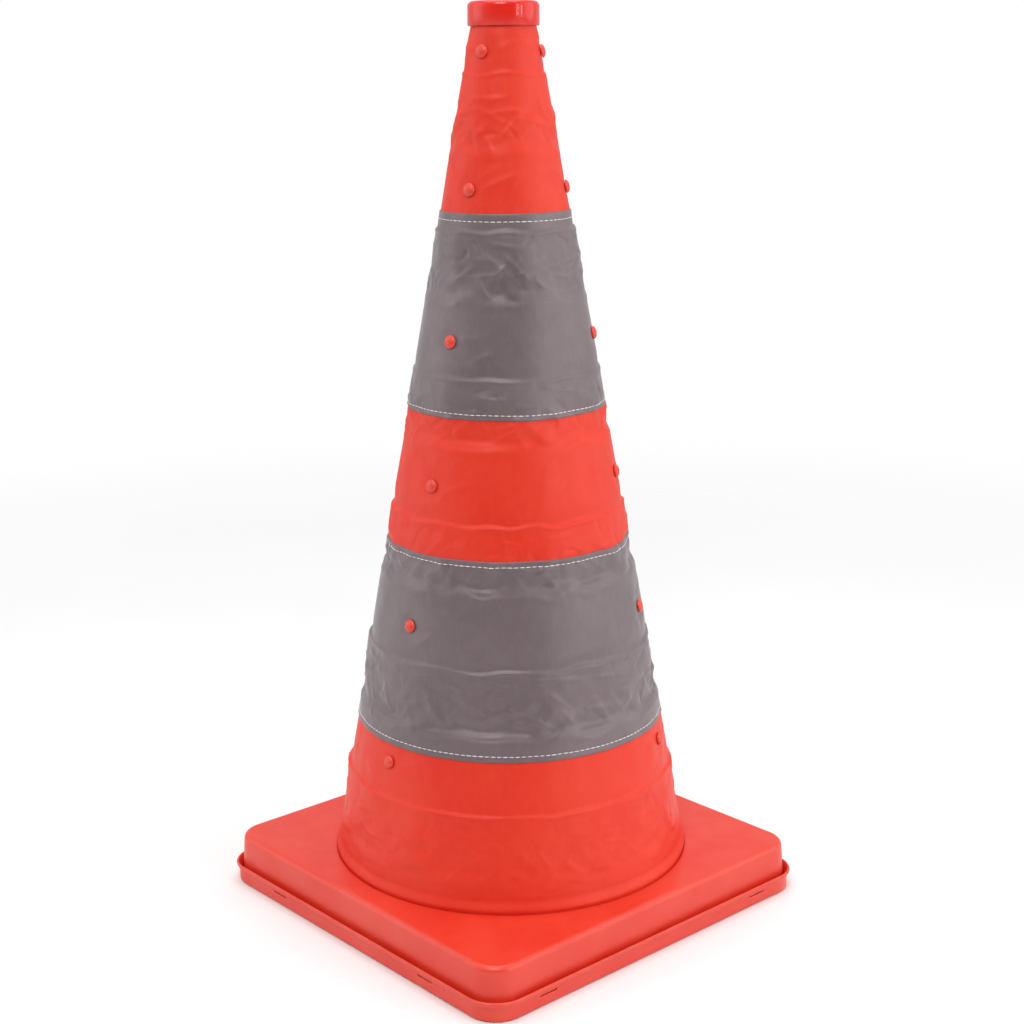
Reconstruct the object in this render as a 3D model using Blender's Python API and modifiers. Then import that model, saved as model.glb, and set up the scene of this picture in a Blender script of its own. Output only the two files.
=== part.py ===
"""Folding traffic cone: a fabric sleeve on seven nesting rings, pushed up by a conical spring
over a square two-piece base. Metres, +Z up, the origin in the middle of the footprint on the ground."""

import math

import bmesh
import bpy
from mathutils import Matrix, Vector

# ---- Driving dimensions -------------------------------------------------------------------------
HEIGHT = 0.700  # ground to the top of the cap
CONE_RADIUS_AT_GROUND = 0.1486  # outer face of the orange fabric, carried down to the ground
CONE_SLOPE = -0.1823  # change of that radius per metre of height
GAP = 0.0003  # clearance between neighbouring pieces
SIDES = 36  # facets round every ring, sleeve and band

RING_COUNT = 7
RING_PITCH = 0.106  # also the travel of each ring into the next
RING_HEIGHT = 0.057
RING_WALL = 0.002
FABRIC = 0.0005

TOP_RING_HEIGHT = 0.051  # the top ring is shorter, counted from the cap's top

RIVETS_PER_RING = 3
RIVET_BELOW_TOP = 0.0315
# Ring 1's row clears the cap's skirt, ring 2's clears the band, ring 7's is under the shell's wall.
ODD_RIVET_ROWS = {1: 0.036, 2: 0.028, 7: 0.0345}
FIRST_RIVET_AZIMUTH = -90.0
RIVET_TWIST_STEP = 3.25  # degrees that each ring is turned against the one below it
STRAIGHT_RINGS_FROM = 6  # rings 6 and 7 aren't turned
MOST_TWIST_STEPS = 4
RIVET_HEAD_RADIUS = 0.005
RIVET_HEAD_HEIGHT = 0.003
RIVET_SHANK_RADIUS = 0.0025
RIVET_TAIL_RADIUS = 0.0038
RIVET_TAIL_HEIGHT = 0.0012
RIVET_STEPS = 10
RIVET_HOLE_DEPTH = 0.020
# The head's dome as (share of its radius, share of its height) points, from its middle outwards.
RIVET_DOME = ((0.0, 1.0), (0.55, 0.85), (0.90, 0.45), (1.0, 0.0))
HEM_ABOVE_RING_FOOT = 0.002  # the sleeve ends this far above the lowest ring's bottom edge

BAND_SPANS = {"upper_band": (0.4016, 0.5497), "lower_band": (0.1526, 0.3000)}

CAP_RADIUS = 0.0265
CAP_SKIRT = 0.0175
CAP_WALL = 0.002
CAP_EDGE = 0.0035
CAP_SPIGOT_RADIUS = 0.0179
CAP_SPIGOT_WALL = 0.0018
CAP_SPIGOT_DEPTH = 0.009
CAP_SKIRT_DRAFT = 0.0002  # the skirt's bore opens by this much towards its end
CAP_ROOT = (0.001, 0.002)  # width and height of the thicker root where the skirt meets the plate

BASE_HEIGHT = 0.0403
BASE_WALL = 0.0022
SHELL_TOP_HALF = 0.1630
SHELL_FOOT_HALF = 0.1648
SHELL_CORNER = 0.0225
SHELL_EDGE = 0.0045
OPENING_RADIUS = 0.1421
TRAY_HALF = 0.1673
TRAY_LIP_HALF = 0.1696
TRAY_CORNER = 0.0245
TRAY_STRAIGHT_HEIGHT = 0.0110  # the rim flares out above this height
TRAY_RIM_HEIGHT = 0.0164
TRAY_FLOOR = 0.0024
CUT_THROUGH = 0.01  # how far a cutter reaches past the face that it opens

SLOT_HEIGHT_ABOVE_GROUND = 0.0098
SLOT_LENGTH = 0.0165
SLOT_WIDTH = 0.0019
SLOT_OFFSET_ON_Y_SIDES = 0.092
SLOT_OFFSET_ON_X_SIDES = 0.114
TAB_CLEARANCE = 0.00035
TAB_END_INSET = 0.0006  # how far a tab's tip stays behind the rim's outer face
SLOT_CUTTER_DEPTH = 0.008

FOOT_RADIUS = 0.012
FOOT_HEIGHT = 0.0020
FOOT_STAND = 0.0008  # how far the feet hold the tray off the ground
FOOT_OFFSET = 0.130
FOOT_STEPS = 24

SPRING_TURNS = 10
SPRING_WIRE_RADIUS = 0.0013
SPRING_BOTTOM_RADIUS = 0.085
SPRING_TOP_RADIUS = 0.0134
SPRING_END_COIL_SHRINK = 0.0032  # how far each flat end turn spirals, so that it clears itself
SPRING_POINTS_PER_TURN = 16
SEAT_RIB_WIDTH = 0.0020
SEAT_RIB_ROOT = 0.0008  # how deep a rib's root sits in the tray's floor
SPRING_RIB_HEIGHT = 0.003

ORANGE_PLASTIC = ("orange_plastic", (0.80, 0.060, 0.030), 0.42, 0.0)
ORANGE_FABRIC = ("orange_fabric", (0.78, 0.060, 0.035), 0.60, 0.0)
GREY_FABRIC = ("reflective_fabric", (0.175, 0.150, 0.160), 0.50, 0.1)
RING_PLASTIC = ("ring_plastic", (0.72, 0.075, 0.040), 0.50, 0.0)
SPRING_STEEL = ("spring_steel", (0.45, 0.45, 0.46), 0.35, 1.0)
BLACK_RUBBER = ("black_rubber", (0.020, 0.020, 0.020), 0.80, 0.0)


# ---- Scene and small helpers --------------------------------------------------------------------
def clear_scene():
    """Remove every object, so that the script can be run again in an open file."""
    for old in list(bpy.data.objects):
        bpy.data.objects.remove(old, do_unlink=True)


def new_collection(name):
    """A collection linked to the scene."""
    collection = bpy.data.collections.new(name)
    bpy.context.scene.collection.children.link(collection)
    return collection


def material(spec):
    """The Principled material of a finish, made once and then reused."""
    name, colour, roughness, metallic = spec
    found = bpy.data.materials.get(name)
    if found:
        return found
    made = bpy.data.materials.new(name)
    made.use_nodes = True
    made.diffuse_color = (*colour, 1.0)
    shader = made.node_tree.nodes["Principled BSDF"]
    shader.inputs["Base Color"].default_value = (*colour, 1.0)
    shader.inputs["Roughness"].default_value = roughness
    shader.inputs["Metallic"].default_value = metallic
    return made


def add_mesh_object(name, mesh, spec, collection):
    """An object of a mesh, with its finish, in a collection."""
    obj = bpy.data.objects.new(name, mesh)
    if spec:
        mesh.materials.append(material(spec))
    collection.objects.link(obj)
    return obj


def mark_cutter(obj):
    """A cutter only shapes other pieces, so it isn't rendered."""
    obj.hide_render = True
    obj.display_type = "WIRE"
    return obj


def shade_round(obj, degrees=35.0):
    """Smooth shading that keeps the sharp edges."""
    obj.data.shade_smooth()
    obj.data.set_sharp_from_angle(angle=math.radians(degrees))


def mesh_from_bmesh(name, bm):
    """A mesh from a bmesh, which is freed."""
    mesh = bpy.data.meshes.new(name)
    bm.to_mesh(mesh)
    bm.free()
    return mesh


def turned(name, profile, spec, collection, steps=SIDES, closed=True):
    """A turned piece: a profile of (radius, height) points, top to bottom on its outer side."""
    bm = bmesh.new()
    corners = [bm.verts.new((radius, 0.0, height)) for radius, height in profile]
    for first, second in zip(corners, corners[1:]):
        bm.edges.new((first, second))
    if closed:
        bm.edges.new((corners[-1], corners[0]))
    obj = add_mesh_object(name, mesh_from_bmesh(name, bm), spec, collection)
    screw = obj.modifiers.new("turn", "SCREW")
    screw.steps = steps
    screw.render_steps = steps
    screw.use_merge_vertices = True
    screw.merge_threshold = 0.00001
    shade_round(obj)
    return obj


def cut(obj, cutter, operation="DIFFERENCE"):
    """A live Boolean on a piece."""
    boolean = obj.modifiers.new(cutter.name, "BOOLEAN")
    boolean.operation = operation
    boolean.solver = "EXACT"
    boolean.object = cutter


def rounded_box(low, high, half_low, half_high, corner, edge=0.0):
    """A bmesh of a square block with round corners that tapers evenly from its bottom to its top."""
    bm = bmesh.new()
    bmesh.ops.create_cube(bm, size=1.0)
    for vert in bm.verts:
        height = high if vert.co.z > 0.0 else low
        vert.co = Vector((vert.co.x * 2.0 * half_low, vert.co.y * 2.0 * half_low, height))
    uprights = [e for e in bm.edges if abs(e.verts[0].co.z - e.verts[1].co.z) > (high - low) / 2]
    bmesh.ops.bevel(bm, geom=uprights, offset=corner, segments=6, profile=0.5, affect="EDGES")
    for vert in bm.verts:
        if vert.co.z > (low + high) / 2:
            vert.co.x *= half_high / half_low
            vert.co.y *= half_high / half_low
    if edge:
        rim = [e for e in bm.edges if min(v.co.z for v in e.verts) > high - 1e-6]
        bmesh.ops.bevel(bm, geom=rim, offset=edge, segments=3, profile=0.5, affect="EDGES")
    return bm


def box(bm, centre, size):
    """Add a block to a bmesh."""
    place = Matrix.Translation(centre) @ Matrix.Diagonal((*size, 1.0))
    bmesh.ops.create_cube(bm, size=1.0, matrix=place)


# ---- The cone's shape ---------------------------------------------------------------------------
def cone_radius(height):
    """Outer radius of the orange fabric at a height."""
    return CONE_RADIUS_AT_GROUND + CONE_SLOPE * height


def ring_top(ring):
    """Height of a ring's top edge. Ring 1 is the top one and ends under the cap."""
    top = HEIGHT - (ring - 1) * RING_PITCH
    return top - CAP_WALL - 2 * GAP if ring == 1 else top


def ring_bottom(ring):
    """Height of a ring's bottom edge."""
    height = TOP_RING_HEIGHT if ring == 1 else RING_HEIGHT
    return HEIGHT - (ring - 1) * RING_PITCH - height


def rivet_height(ring):
    """Height of a ring's row of rivets."""
    below = ODD_RIVET_ROWS.get(ring, RIVET_BELOW_TOP)
    return HEIGHT - (ring - 1) * RING_PITCH - below


def rivet_twist(ring):
    """Degrees that a ring's rivets are turned round the cone."""
    steps = min(max(STRAIGHT_RINGS_FROM - ring, 0), MOST_TWIST_STEPS)
    return steps * RIVET_TWIST_STEP


def rivet_frames(ring):
    """One matrix for each rivet of a ring: local +Z points out of the cone, square to its wall."""
    height = rivet_height(ring)
    tilt = math.atan(-CONE_SLOPE)
    frames = []
    for index in range(RIVETS_PER_RING):
        degrees = FIRST_RIVET_AZIMUTH + rivet_twist(ring) + index * 360.0 / RIVETS_PER_RING
        turn = Matrix.Rotation(math.radians(degrees), 4, "Z")
        lean = Matrix.Rotation(math.pi / 2 - tilt, 4, "Y")
        out = Matrix.Translation((cone_radius(height), 0.0, height))
        frames.append(turn @ out @ lean)
    return frames


def band_pieces():
    """The bands, split where one ring's stage of the sleeve meets the next."""
    pieces = []
    for band, (low, high) in BAND_SPANS.items():
        letter = 0
        for ring in range(1, RING_COUNT):
            top = min(high, stage_top(ring))
            bottom = max(low, stage_bottom(ring))
            if top > bottom:
                pieces.append((f"{band}_{'abc'[letter]}", ring, bottom, top))
                letter += 1
    return pieces


def stage_top(ring):
    """Top of the stretch of sleeve that belongs to a ring."""
    return ring_top(ring) - (GAP / 2 if ring > 1 else 0.0)


def stage_bottom(ring):
    """Bottom of that stretch: the next ring's top edge, or the hem at the foot of the last ring."""
    if ring == RING_COUNT:
        return ring_bottom(ring) + HEM_ABOVE_RING_FOOT
    return ring_top(ring + 1) + GAP / 2


def is_banded(ring):
    """Whether a ring's rivets go through a reflective band."""
    return any(low < rivet_height(ring) < high for low, high in BAND_SPANS.values())


# ---- Rings, sleeve, bands, rivets ---------------------------------------------------------------
def wall_profile(top, bottom, outward, thickness):
    """A thin conical wall: outward is its outer face's distance from the fabric's outer face."""
    return [
        (cone_radius(top) + outward, top),
        (cone_radius(bottom) + outward, bottom),
        (cone_radius(bottom) + outward - thickness, bottom),
        (cone_radius(top) + outward - thickness, top),
    ]


def make_ring(ring, parts):
    """A moulded ring: a plain conical wall, so that the folded fabric passes over its top edge."""
    profile = wall_profile(ring_top(ring), ring_bottom(ring), -(FABRIC + GAP), RING_WALL)
    return turned(f"ring_{ring}", profile, RING_PLASTIC, parts)


def make_sleeve(ring, parts):
    """A ring's stage of the orange sleeve."""
    profile = wall_profile(stage_top(ring), stage_bottom(ring), 0.0, FABRIC)
    return turned(f"sleeve_{ring}", profile, ORANGE_FABRIC, parts)


def make_band(name, bottom, top, parts):
    """A stretch of reflective band, sewn over the sleeve."""
    profile = wall_profile(top, bottom, GAP + FABRIC, FABRIC)
    return turned(name, profile, GREY_FABRIC, parts)


def make_rivet_holes(ring, cutters):
    """The three holes that a ring's rivets go through."""
    bm = bmesh.new()
    for frame in rivet_frames(ring):
        bmesh.ops.create_cone(
            bm,
            cap_ends=True,
            segments=RIVET_STEPS,
            radius1=RIVET_SHANK_RADIUS + GAP,
            radius2=RIVET_SHANK_RADIUS + GAP,
            depth=RIVET_HOLE_DEPTH,
            matrix=frame,
        )
    name = f"rivet_holes_{ring}"
    return mark_cutter(add_mesh_object(name, mesh_from_bmesh(name, bm), None, cutters))


def rivet_profile(ring):
    """A rivet's (radius, height) profile about its own axis, height 0 at the fabric's outer face."""
    seat = GAP + (FABRIC + GAP if is_banded(ring) else 0.0)
    inner_radius = cone_radius(rivet_height(ring)) - FABRIC - GAP - RING_WALL
    chord = math.sqrt(inner_radius**2 - RIVET_TAIL_RADIUS**2) * math.cos(math.pi / SIDES)
    tail = -(cone_radius(rivet_height(ring)) - chord) - GAP
    dome = [(RIVET_HEAD_RADIUS * wide, seat + RIVET_HEAD_HEIGHT * high) for wide, high in RIVET_DOME]
    return dome + [
        (RIVET_SHANK_RADIUS, seat),
        (RIVET_SHANK_RADIUS, tail),
        (RIVET_TAIL_RADIUS, tail),
        (RIVET_TAIL_RADIUS, tail - RIVET_TAIL_HEIGHT),
        (0.0, tail - RIVET_TAIL_HEIGHT),
    ]


def make_rivets(ring, parts):
    """A ring's rivets, each a separate piece."""
    for index, frame in enumerate(rivet_frames(ring)):
        name = f"rivet_{ring}_{'abc'[index]}"
        rivet = turned(name, rivet_profile(ring), ORANGE_PLASTIC, parts, RIVET_STEPS, closed=False)
        rivet.matrix_world = frame


# ---- Cap, spring ---------------------------------------------------------------------------------
def make_cap(parts):
    """The cap: a plate with a rounded edge, a skirt over the sleeve and a spigot inside ring 1."""
    under = HEIGHT - CAP_WALL
    edge = [
        (
            CAP_RADIUS - CAP_EDGE + CAP_EDGE * math.sin(turn),
            HEIGHT - CAP_EDGE + CAP_EDGE * math.cos(turn),
        )
        for turn in (0.0, math.pi / 6, math.pi / 3, math.pi / 2)
    ]
    spigot_end = under - CAP_SPIGOT_DEPTH
    spigot_bore = CAP_SPIGOT_RADIUS - CAP_SPIGOT_WALL
    profile = [(0.0, HEIGHT), *edge]
    profile += [
        (CAP_RADIUS, HEIGHT - CAP_SKIRT),
        (CAP_RADIUS - CAP_WALL + CAP_SKIRT_DRAFT, HEIGHT - CAP_SKIRT),
        (CAP_RADIUS - CAP_WALL, under - CAP_ROOT[1]),
        (CAP_RADIUS - CAP_WALL - CAP_ROOT[0], under),
        (CAP_SPIGOT_RADIUS, under),
        (CAP_SPIGOT_RADIUS, spigot_end),
        (spigot_bore, spigot_end),
        (spigot_bore, under),
        (0.0, under),
    ]
    return turned("cap", profile, ORANGE_PLASTIC, parts, closed=False)


def spring_points():
    """Points of the conical spring's wire, from the tray's floor up into the cap."""
    start = FOOT_STAND + TRAY_FLOOR + SPRING_WIRE_RADIUS + GAP
    end = HEIGHT - CAP_WALL - SPRING_WIRE_RADIUS - GAP
    shrink = SPRING_END_COIL_SHRINK
    points = []
    for index in range(SPRING_TURNS * SPRING_POINTS_PER_TURN + 1):
        turn = index / SPRING_POINTS_PER_TURN
        # The first and last turns lie flat; the height and most of the taper are between them.
        rise = min(max((turn - 1.0) / (SPRING_TURNS - 2.0), 0.0), 1.0)
        flat = min(turn, 1.0) + max(turn - SPRING_TURNS + 1.0, 0.0)
        taper = (SPRING_BOTTOM_RADIUS - shrink - SPRING_TOP_RADIUS) * rise
        radius = SPRING_BOTTOM_RADIUS - shrink * flat - taper
        angle = 2.0 * math.pi * turn
        height = start + (end - start) * rise
        points.append((radius * math.cos(angle), radius * math.sin(angle), height))
    return points


def make_spring(parts):
    """The conical steel spring that holds the cone up."""
    data = bpy.data.curves.new("spring", "CURVE")
    data.dimensions = "3D"
    data.bevel_depth = SPRING_WIRE_RADIUS
    data.bevel_resolution = 2
    data.use_fill_caps = True
    points = spring_points()
    spline = data.splines.new("POLY")
    spline.points.add(len(points) - 1)
    for target, point in zip(spline.points, points):
        target.co = (*point, 1.0)
    data.materials.append(material(SPRING_STEEL))
    obj = bpy.data.objects.new("spring", data)
    parts.objects.link(obj)
    return obj


# ---- Base ----------------------------------------------------------------------------------------
def slot_places():
    """Middle of each snap slot on the tray's rim: (x, y, runs along x)."""
    places = []
    for side in (-1.0, 1.0):
        for end in (-1.0, 1.0):
            places.append((end * SLOT_OFFSET_ON_Y_SIDES, side * TRAY_HALF, True))
            places.append((side * TRAY_HALF, end * SLOT_OFFSET_ON_X_SIDES, False))
    return places


def add_slot_blocks(bm, length, width, depth, inward):
    """A block for each slot, moved inward from the rim's outer face."""
    for x, y, along_x in slot_places():
        if along_x:
            centre = (x, y - math.copysign(inward, y), SLOT_HEIGHT_ABOVE_GROUND)
            box(bm, centre, (length, depth, width))
        else:
            centre = (x - math.copysign(inward, x), y, SLOT_HEIGHT_ABOVE_GROUND)
            box(bm, centre, (depth, length, width))


def make_slot_cutter(cutters):
    """The snap slots in the tray's rim."""
    bm = bmesh.new()
    add_slot_blocks(bm, SLOT_LENGTH, SLOT_WIDTH, SLOT_CUTTER_DEPTH, 0.0)
    return mark_cutter(add_mesh_object("snap_slots", mesh_from_bmesh("snap_slots", bm), None, cutters))


def make_tab_blocks(cutters):
    """The shell's snap tabs, which end just inside the slots."""
    tab_root = TRAY_HALF - shell_half(SLOT_HEIGHT_ABOVE_GROUND) + BASE_WALL / 2
    depth = tab_root - TAB_END_INSET
    bm = bmesh.new()
    length = SLOT_LENGTH - 2 * TAB_CLEARANCE
    width = SLOT_WIDTH - 2 * TAB_CLEARANCE
    add_slot_blocks(bm, length, width, depth, TAB_END_INSET + depth / 2)
    return mark_cutter(add_mesh_object("snap_tabs", mesh_from_bmesh("snap_tabs", bm), None, cutters))


def shell_half(height):
    """Half width of the shell's outer side at a height."""
    low = FOOT_STAND + TRAY_FLOOR + GAP
    part = (height - low) / (BASE_HEIGHT - low)
    return SHELL_FOOT_HALF + (SHELL_TOP_HALF - SHELL_FOOT_HALF) * part


def make_shell(parts, cutters):
    """The base's top half: a square cover with a round opening, open below."""
    low = FOOT_STAND + TRAY_FLOOR + GAP
    outer = rounded_box(low, BASE_HEIGHT, SHELL_FOOT_HALF, SHELL_TOP_HALF, SHELL_CORNER, SHELL_EDGE)
    shell = add_mesh_object("base_shell", mesh_from_bmesh("base_shell", outer), ORANGE_PLASTIC, parts)
    inner = rounded_box(
        low - CUT_THROUGH,
        BASE_HEIGHT - BASE_WALL,
        shell_half(low - CUT_THROUGH) - BASE_WALL,
        SHELL_TOP_HALF - BASE_WALL,
        SHELL_CORNER - BASE_WALL,
        SHELL_EDGE - BASE_WALL,
    )
    hollow = add_mesh_object("shell_hollow", mesh_from_bmesh("shell_hollow", inner), None, cutters)
    opening = turned(
        "shell_opening",
        [
            (0.0, BASE_HEIGHT + CUT_THROUGH),
            (OPENING_RADIUS, BASE_HEIGHT + CUT_THROUGH),
            (OPENING_RADIUS, BASE_HEIGHT - CUT_THROUGH),
            (0.0, BASE_HEIGHT - CUT_THROUGH),
        ],
        None,
        cutters,
        closed=False,
    )
    cut(shell, mark_cutter(hollow))
    cut(shell, mark_cutter(opening))
    cut(shell, make_tab_blocks(cutters), "UNION")
    shade_round(shell)
    return shell


def tray_block(inset, low, name):
    """The tray's outer form, or its hollow when inset: straight below, flared at the lip."""
    high = TRAY_RIM_HEIGHT if inset == 0.0 else TRAY_RIM_HEIGHT + CUT_THROUGH
    half = TRAY_HALF - inset
    bm = rounded_box(low, high, half, half, TRAY_CORNER - inset)
    lip_growth = (TRAY_LIP_HALF - TRAY_HALF) / TRAY_HALF
    geometry = bm.verts[:] + bm.edges[:] + bm.faces[:]
    bmesh.ops.bisect_plane(bm, geom=geometry, plane_co=(0, 0, TRAY_STRAIGHT_HEIGHT), plane_no=(0, 0, 1))
    for vert in bm.verts:
        above = (vert.co.z - TRAY_STRAIGHT_HEIGHT) / (TRAY_RIM_HEIGHT - TRAY_STRAIGHT_HEIGHT)
        growth = 1.0 + lip_growth * max(above, 0.0)
        vert.co.x *= growth
        vert.co.y *= growth
    return mesh_from_bmesh(name, bm)


def seat_rib(name, radius, top, cutters):
    """A low round rib on the tray's floor."""
    floor = FOOT_STAND + TRAY_FLOOR
    profile = [
        (radius + SEAT_RIB_WIDTH / 2, top),
        (radius + SEAT_RIB_WIDTH / 2, floor - SEAT_RIB_ROOT),
        (radius - SEAT_RIB_WIDTH / 2, floor - SEAT_RIB_ROOT),
        (radius - SEAT_RIB_WIDTH / 2, top),
    ]
    return mark_cutter(turned(name, profile, None, cutters))


def make_tray(parts, cutters):
    """The base's lower half: a shallow tray with a flared lip, snap slots, ribs and foot pockets."""
    floor = FOOT_STAND + TRAY_FLOOR
    tray = add_mesh_object("base_tray", tray_block(0.0, FOOT_STAND, "base_tray"), ORANGE_PLASTIC, parts)
    hollow = add_mesh_object("tray_hollow", tray_block(BASE_WALL, floor, "tray_hollow"), None, cutters)
    cut(tray, mark_cutter(hollow))
    cut(tray, make_slot_cutter(cutters))
    ring_seat = cone_radius(ring_bottom(RING_COUNT)) - FABRIC - GAP - RING_WALL / 2
    cut(tray, seat_rib("ring_seat", ring_seat, ring_bottom(RING_COUNT) - GAP, cutters), "UNION")
    spring_seat = SPRING_BOTTOM_RADIUS + SPRING_WIRE_RADIUS + SEAT_RIB_WIDTH / 2 + 2 * GAP
    cut(tray, seat_rib("spring_seat", spring_seat, floor + SPRING_RIB_HEIGHT, cutters), "UNION")
    cut(tray, make_foot_pockets(cutters))
    shade_round(tray)
    return tray


def foot_places():
    """Middle of each foot."""
    return [(x * FOOT_OFFSET, y * FOOT_OFFSET) for x in (-1.0, 1.0) for y in (-1.0, 1.0)]


def make_foot_pockets(cutters):
    """Shallow pockets under the tray for the feet."""
    bm = bmesh.new()
    for x, y in foot_places():
        bmesh.ops.create_cone(
            bm,
            cap_ends=True,
            segments=FOOT_STEPS,
            radius1=FOOT_RADIUS + GAP,
            radius2=FOOT_RADIUS + GAP,
            depth=2 * (FOOT_HEIGHT + GAP),
            matrix=Matrix.Translation((x, y, 0.0)),
        )
    return mark_cutter(add_mesh_object("foot_pockets", mesh_from_bmesh("foot_pockets", bm), None, cutters))


def make_feet(parts):
    """Four round rubber feet."""
    for index, (x, y) in enumerate(foot_places(), start=1):
        bm = bmesh.new()
        bmesh.ops.create_cone(
            bm,
            cap_ends=True,
            segments=FOOT_STEPS,
            radius1=FOOT_RADIUS,
            radius2=FOOT_RADIUS,
            depth=FOOT_HEIGHT,
        )
        name = f"foot_{index}"
        foot = add_mesh_object(name, mesh_from_bmesh(name, bm), BLACK_RUBBER, parts)
        foot.location = (x, y, FOOT_HEIGHT / 2)
        shade_round(foot)


# ---- Assembly ------------------------------------------------------------------------------------
def make_stages(parts, cutters):
    """Every ring with its stage of sleeve and its rivets, and the bands over them."""
    holes = {}
    for ring in range(1, RING_COUNT + 1):
        holes[ring] = make_rivet_holes(ring, cutters)
        cut(make_ring(ring, parts), holes[ring])
        cut(make_sleeve(ring, parts), holes[ring])
        make_rivets(ring, parts)
    for name, ring, bottom, top in band_pieces():
        band = make_band(name, bottom, top, parts)
        if bottom < rivet_height(ring) < top:
            cut(band, holes[ring])


def main():
    clear_scene()
    parts = new_collection("folding_traffic_cone")
    cutters = new_collection("cutters")
    make_tray(parts, cutters)
    make_shell(parts, cutters)
    make_feet(parts)
    make_stages(parts, cutters)
    make_cap(parts)
    make_spring(parts)


main()
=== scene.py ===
# %% [markdown]
# # A folding traffic cone
# The real cone is a fabric sleeve riveted to seven plastic rings that nest in each other, a steel
# spring that pushes them up, a moulded cap and a square base in two halves. This script builds the
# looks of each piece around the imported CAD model, which gives the sizes and the moving bodies.

# %% Load the frame
import math

import bmesh
import bpy
import numpy as np
from mathutils import Matrix, Vector


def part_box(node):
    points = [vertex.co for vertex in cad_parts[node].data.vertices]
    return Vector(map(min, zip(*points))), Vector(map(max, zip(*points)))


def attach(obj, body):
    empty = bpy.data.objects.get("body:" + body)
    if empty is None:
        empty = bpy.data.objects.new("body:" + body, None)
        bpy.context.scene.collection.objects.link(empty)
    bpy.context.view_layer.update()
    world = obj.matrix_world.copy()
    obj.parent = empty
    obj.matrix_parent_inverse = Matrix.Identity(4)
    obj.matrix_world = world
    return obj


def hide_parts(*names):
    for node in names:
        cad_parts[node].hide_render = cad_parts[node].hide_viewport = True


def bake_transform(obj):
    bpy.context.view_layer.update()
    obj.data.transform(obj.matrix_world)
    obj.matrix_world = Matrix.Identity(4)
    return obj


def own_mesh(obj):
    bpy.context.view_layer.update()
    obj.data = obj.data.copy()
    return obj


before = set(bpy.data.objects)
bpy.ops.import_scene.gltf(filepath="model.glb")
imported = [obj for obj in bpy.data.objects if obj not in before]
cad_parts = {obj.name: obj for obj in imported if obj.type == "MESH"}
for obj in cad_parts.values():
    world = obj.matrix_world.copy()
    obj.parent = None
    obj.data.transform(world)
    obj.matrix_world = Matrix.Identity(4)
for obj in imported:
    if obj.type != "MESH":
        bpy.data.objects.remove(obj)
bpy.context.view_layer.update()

# %% [markdown]
# ## The cone's own measures
# Every ring, every stretch of sleeve and both bands lie on one cone, so a radius at a height is all
# that most pieces need. It could be typed in again, but reading it off the CAD nodes keeps the two
# models together: two sleeve nodes give the slope, and the rings give their own heights.

# %% Cone, rings and stages
MM = 0.001
RINGS = range(1, 8)
RING_TOP = {ring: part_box(f"ring_{ring}")[1].z for ring in RINGS}
RING_BOTTOM = {ring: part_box(f"ring_{ring}")[0].z for ring in RINGS}
SLEEVE_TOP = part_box("sleeve_1")[1].z
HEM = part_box("sleeve_7")[0].z

upper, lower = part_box("sleeve_1"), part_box("sleeve_7")
CONE_SLOPE = (lower[1].x - upper[1].x) / (lower[0].z - upper[0].z)
GROUND_RADIUS = upper[1].x - CONE_SLOPE * upper[0].z
HALF_ANGLE = math.atan(-CONE_SLOPE)


def cone_radius(height):
    """Radius of the sleeve's outer face, before any folds."""
    return GROUND_RADIUS + CONE_SLOPE * height


def stage_body(ring):
    """The moving body that a ring belongs to; the lowest ring stands in the base."""
    return "base" if ring == 7 else f"stage_{ring}"


print(f"radius at the ground {GROUND_RADIUS:.4f} m, half angle {math.degrees(HALF_ANGLE):.2f} degrees")

# %% [markdown]
# ## Camera
# A camera needs a place, a direction and a lens. The direction is kept as two angles, down and
# roll, because they are what a tripod head has.

# %% Camera
VIEW_AZIMUTH = math.radians(-41.71)
VIEW_DISTANCE = 1.3255
VIEW_HEIGHT = 0.647
VIEW_DOWN = math.radians(14.125)
VIEW_ROLL = math.radians(-0.52)

level = Vector((-math.cos(VIEW_AZIMUTH), -math.sin(VIEW_AZIMUTH), 0.0))
right = level.cross(Vector((0.0, 0.0, 1.0)))
forward = math.cos(VIEW_DOWN) * level - math.sin(VIEW_DOWN) * Vector((0.0, 0.0, 1.0))
up = right.cross(forward)
rolled_right = math.cos(VIEW_ROLL) * right + math.sin(VIEW_ROLL) * up
rolled_up = -math.sin(VIEW_ROLL) * right + math.cos(VIEW_ROLL) * up

lens = bpy.data.cameras.new("camera")
lens.lens = 61.14
lens.sensor_width = 36.0
lens.shift_x = 0.004
lens.shift_y = 0.0012
camera = bpy.data.objects.new("camera", lens)
camera.rotation_mode = "QUATERNION"
camera.rotation_quaternion = Matrix([rolled_right, rolled_up, -forward]).transposed().to_quaternion()
camera.location = -VIEW_DISTANCE * level + Vector((0.0, 0.0, VIEW_HEIGHT))
bpy.context.scene.collection.objects.link(camera)
bpy.context.scene.camera = camera
print("camera at", tuple(round(x, 4) for x in camera.location))

# %% [markdown]
# ## Studio
# A safety cone is orange so that it shows in flat daylight. A wide pale room with large soft
# lamps gives that even light, and still lets a fold cast a soft shade. The lamps are area lamps,
# because the size of a lamp is what makes its highlight soft: the two narrow strips draw thin upright
# highlights on the glossy cap. The room is darker on the side that the cone faces, as a studio is
# behind its tripod, so a fold that leans up or sideways shines against it.

# %% Floor, sky and lamps
AIM = Vector((0.0, 0.0, 0.33))


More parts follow.
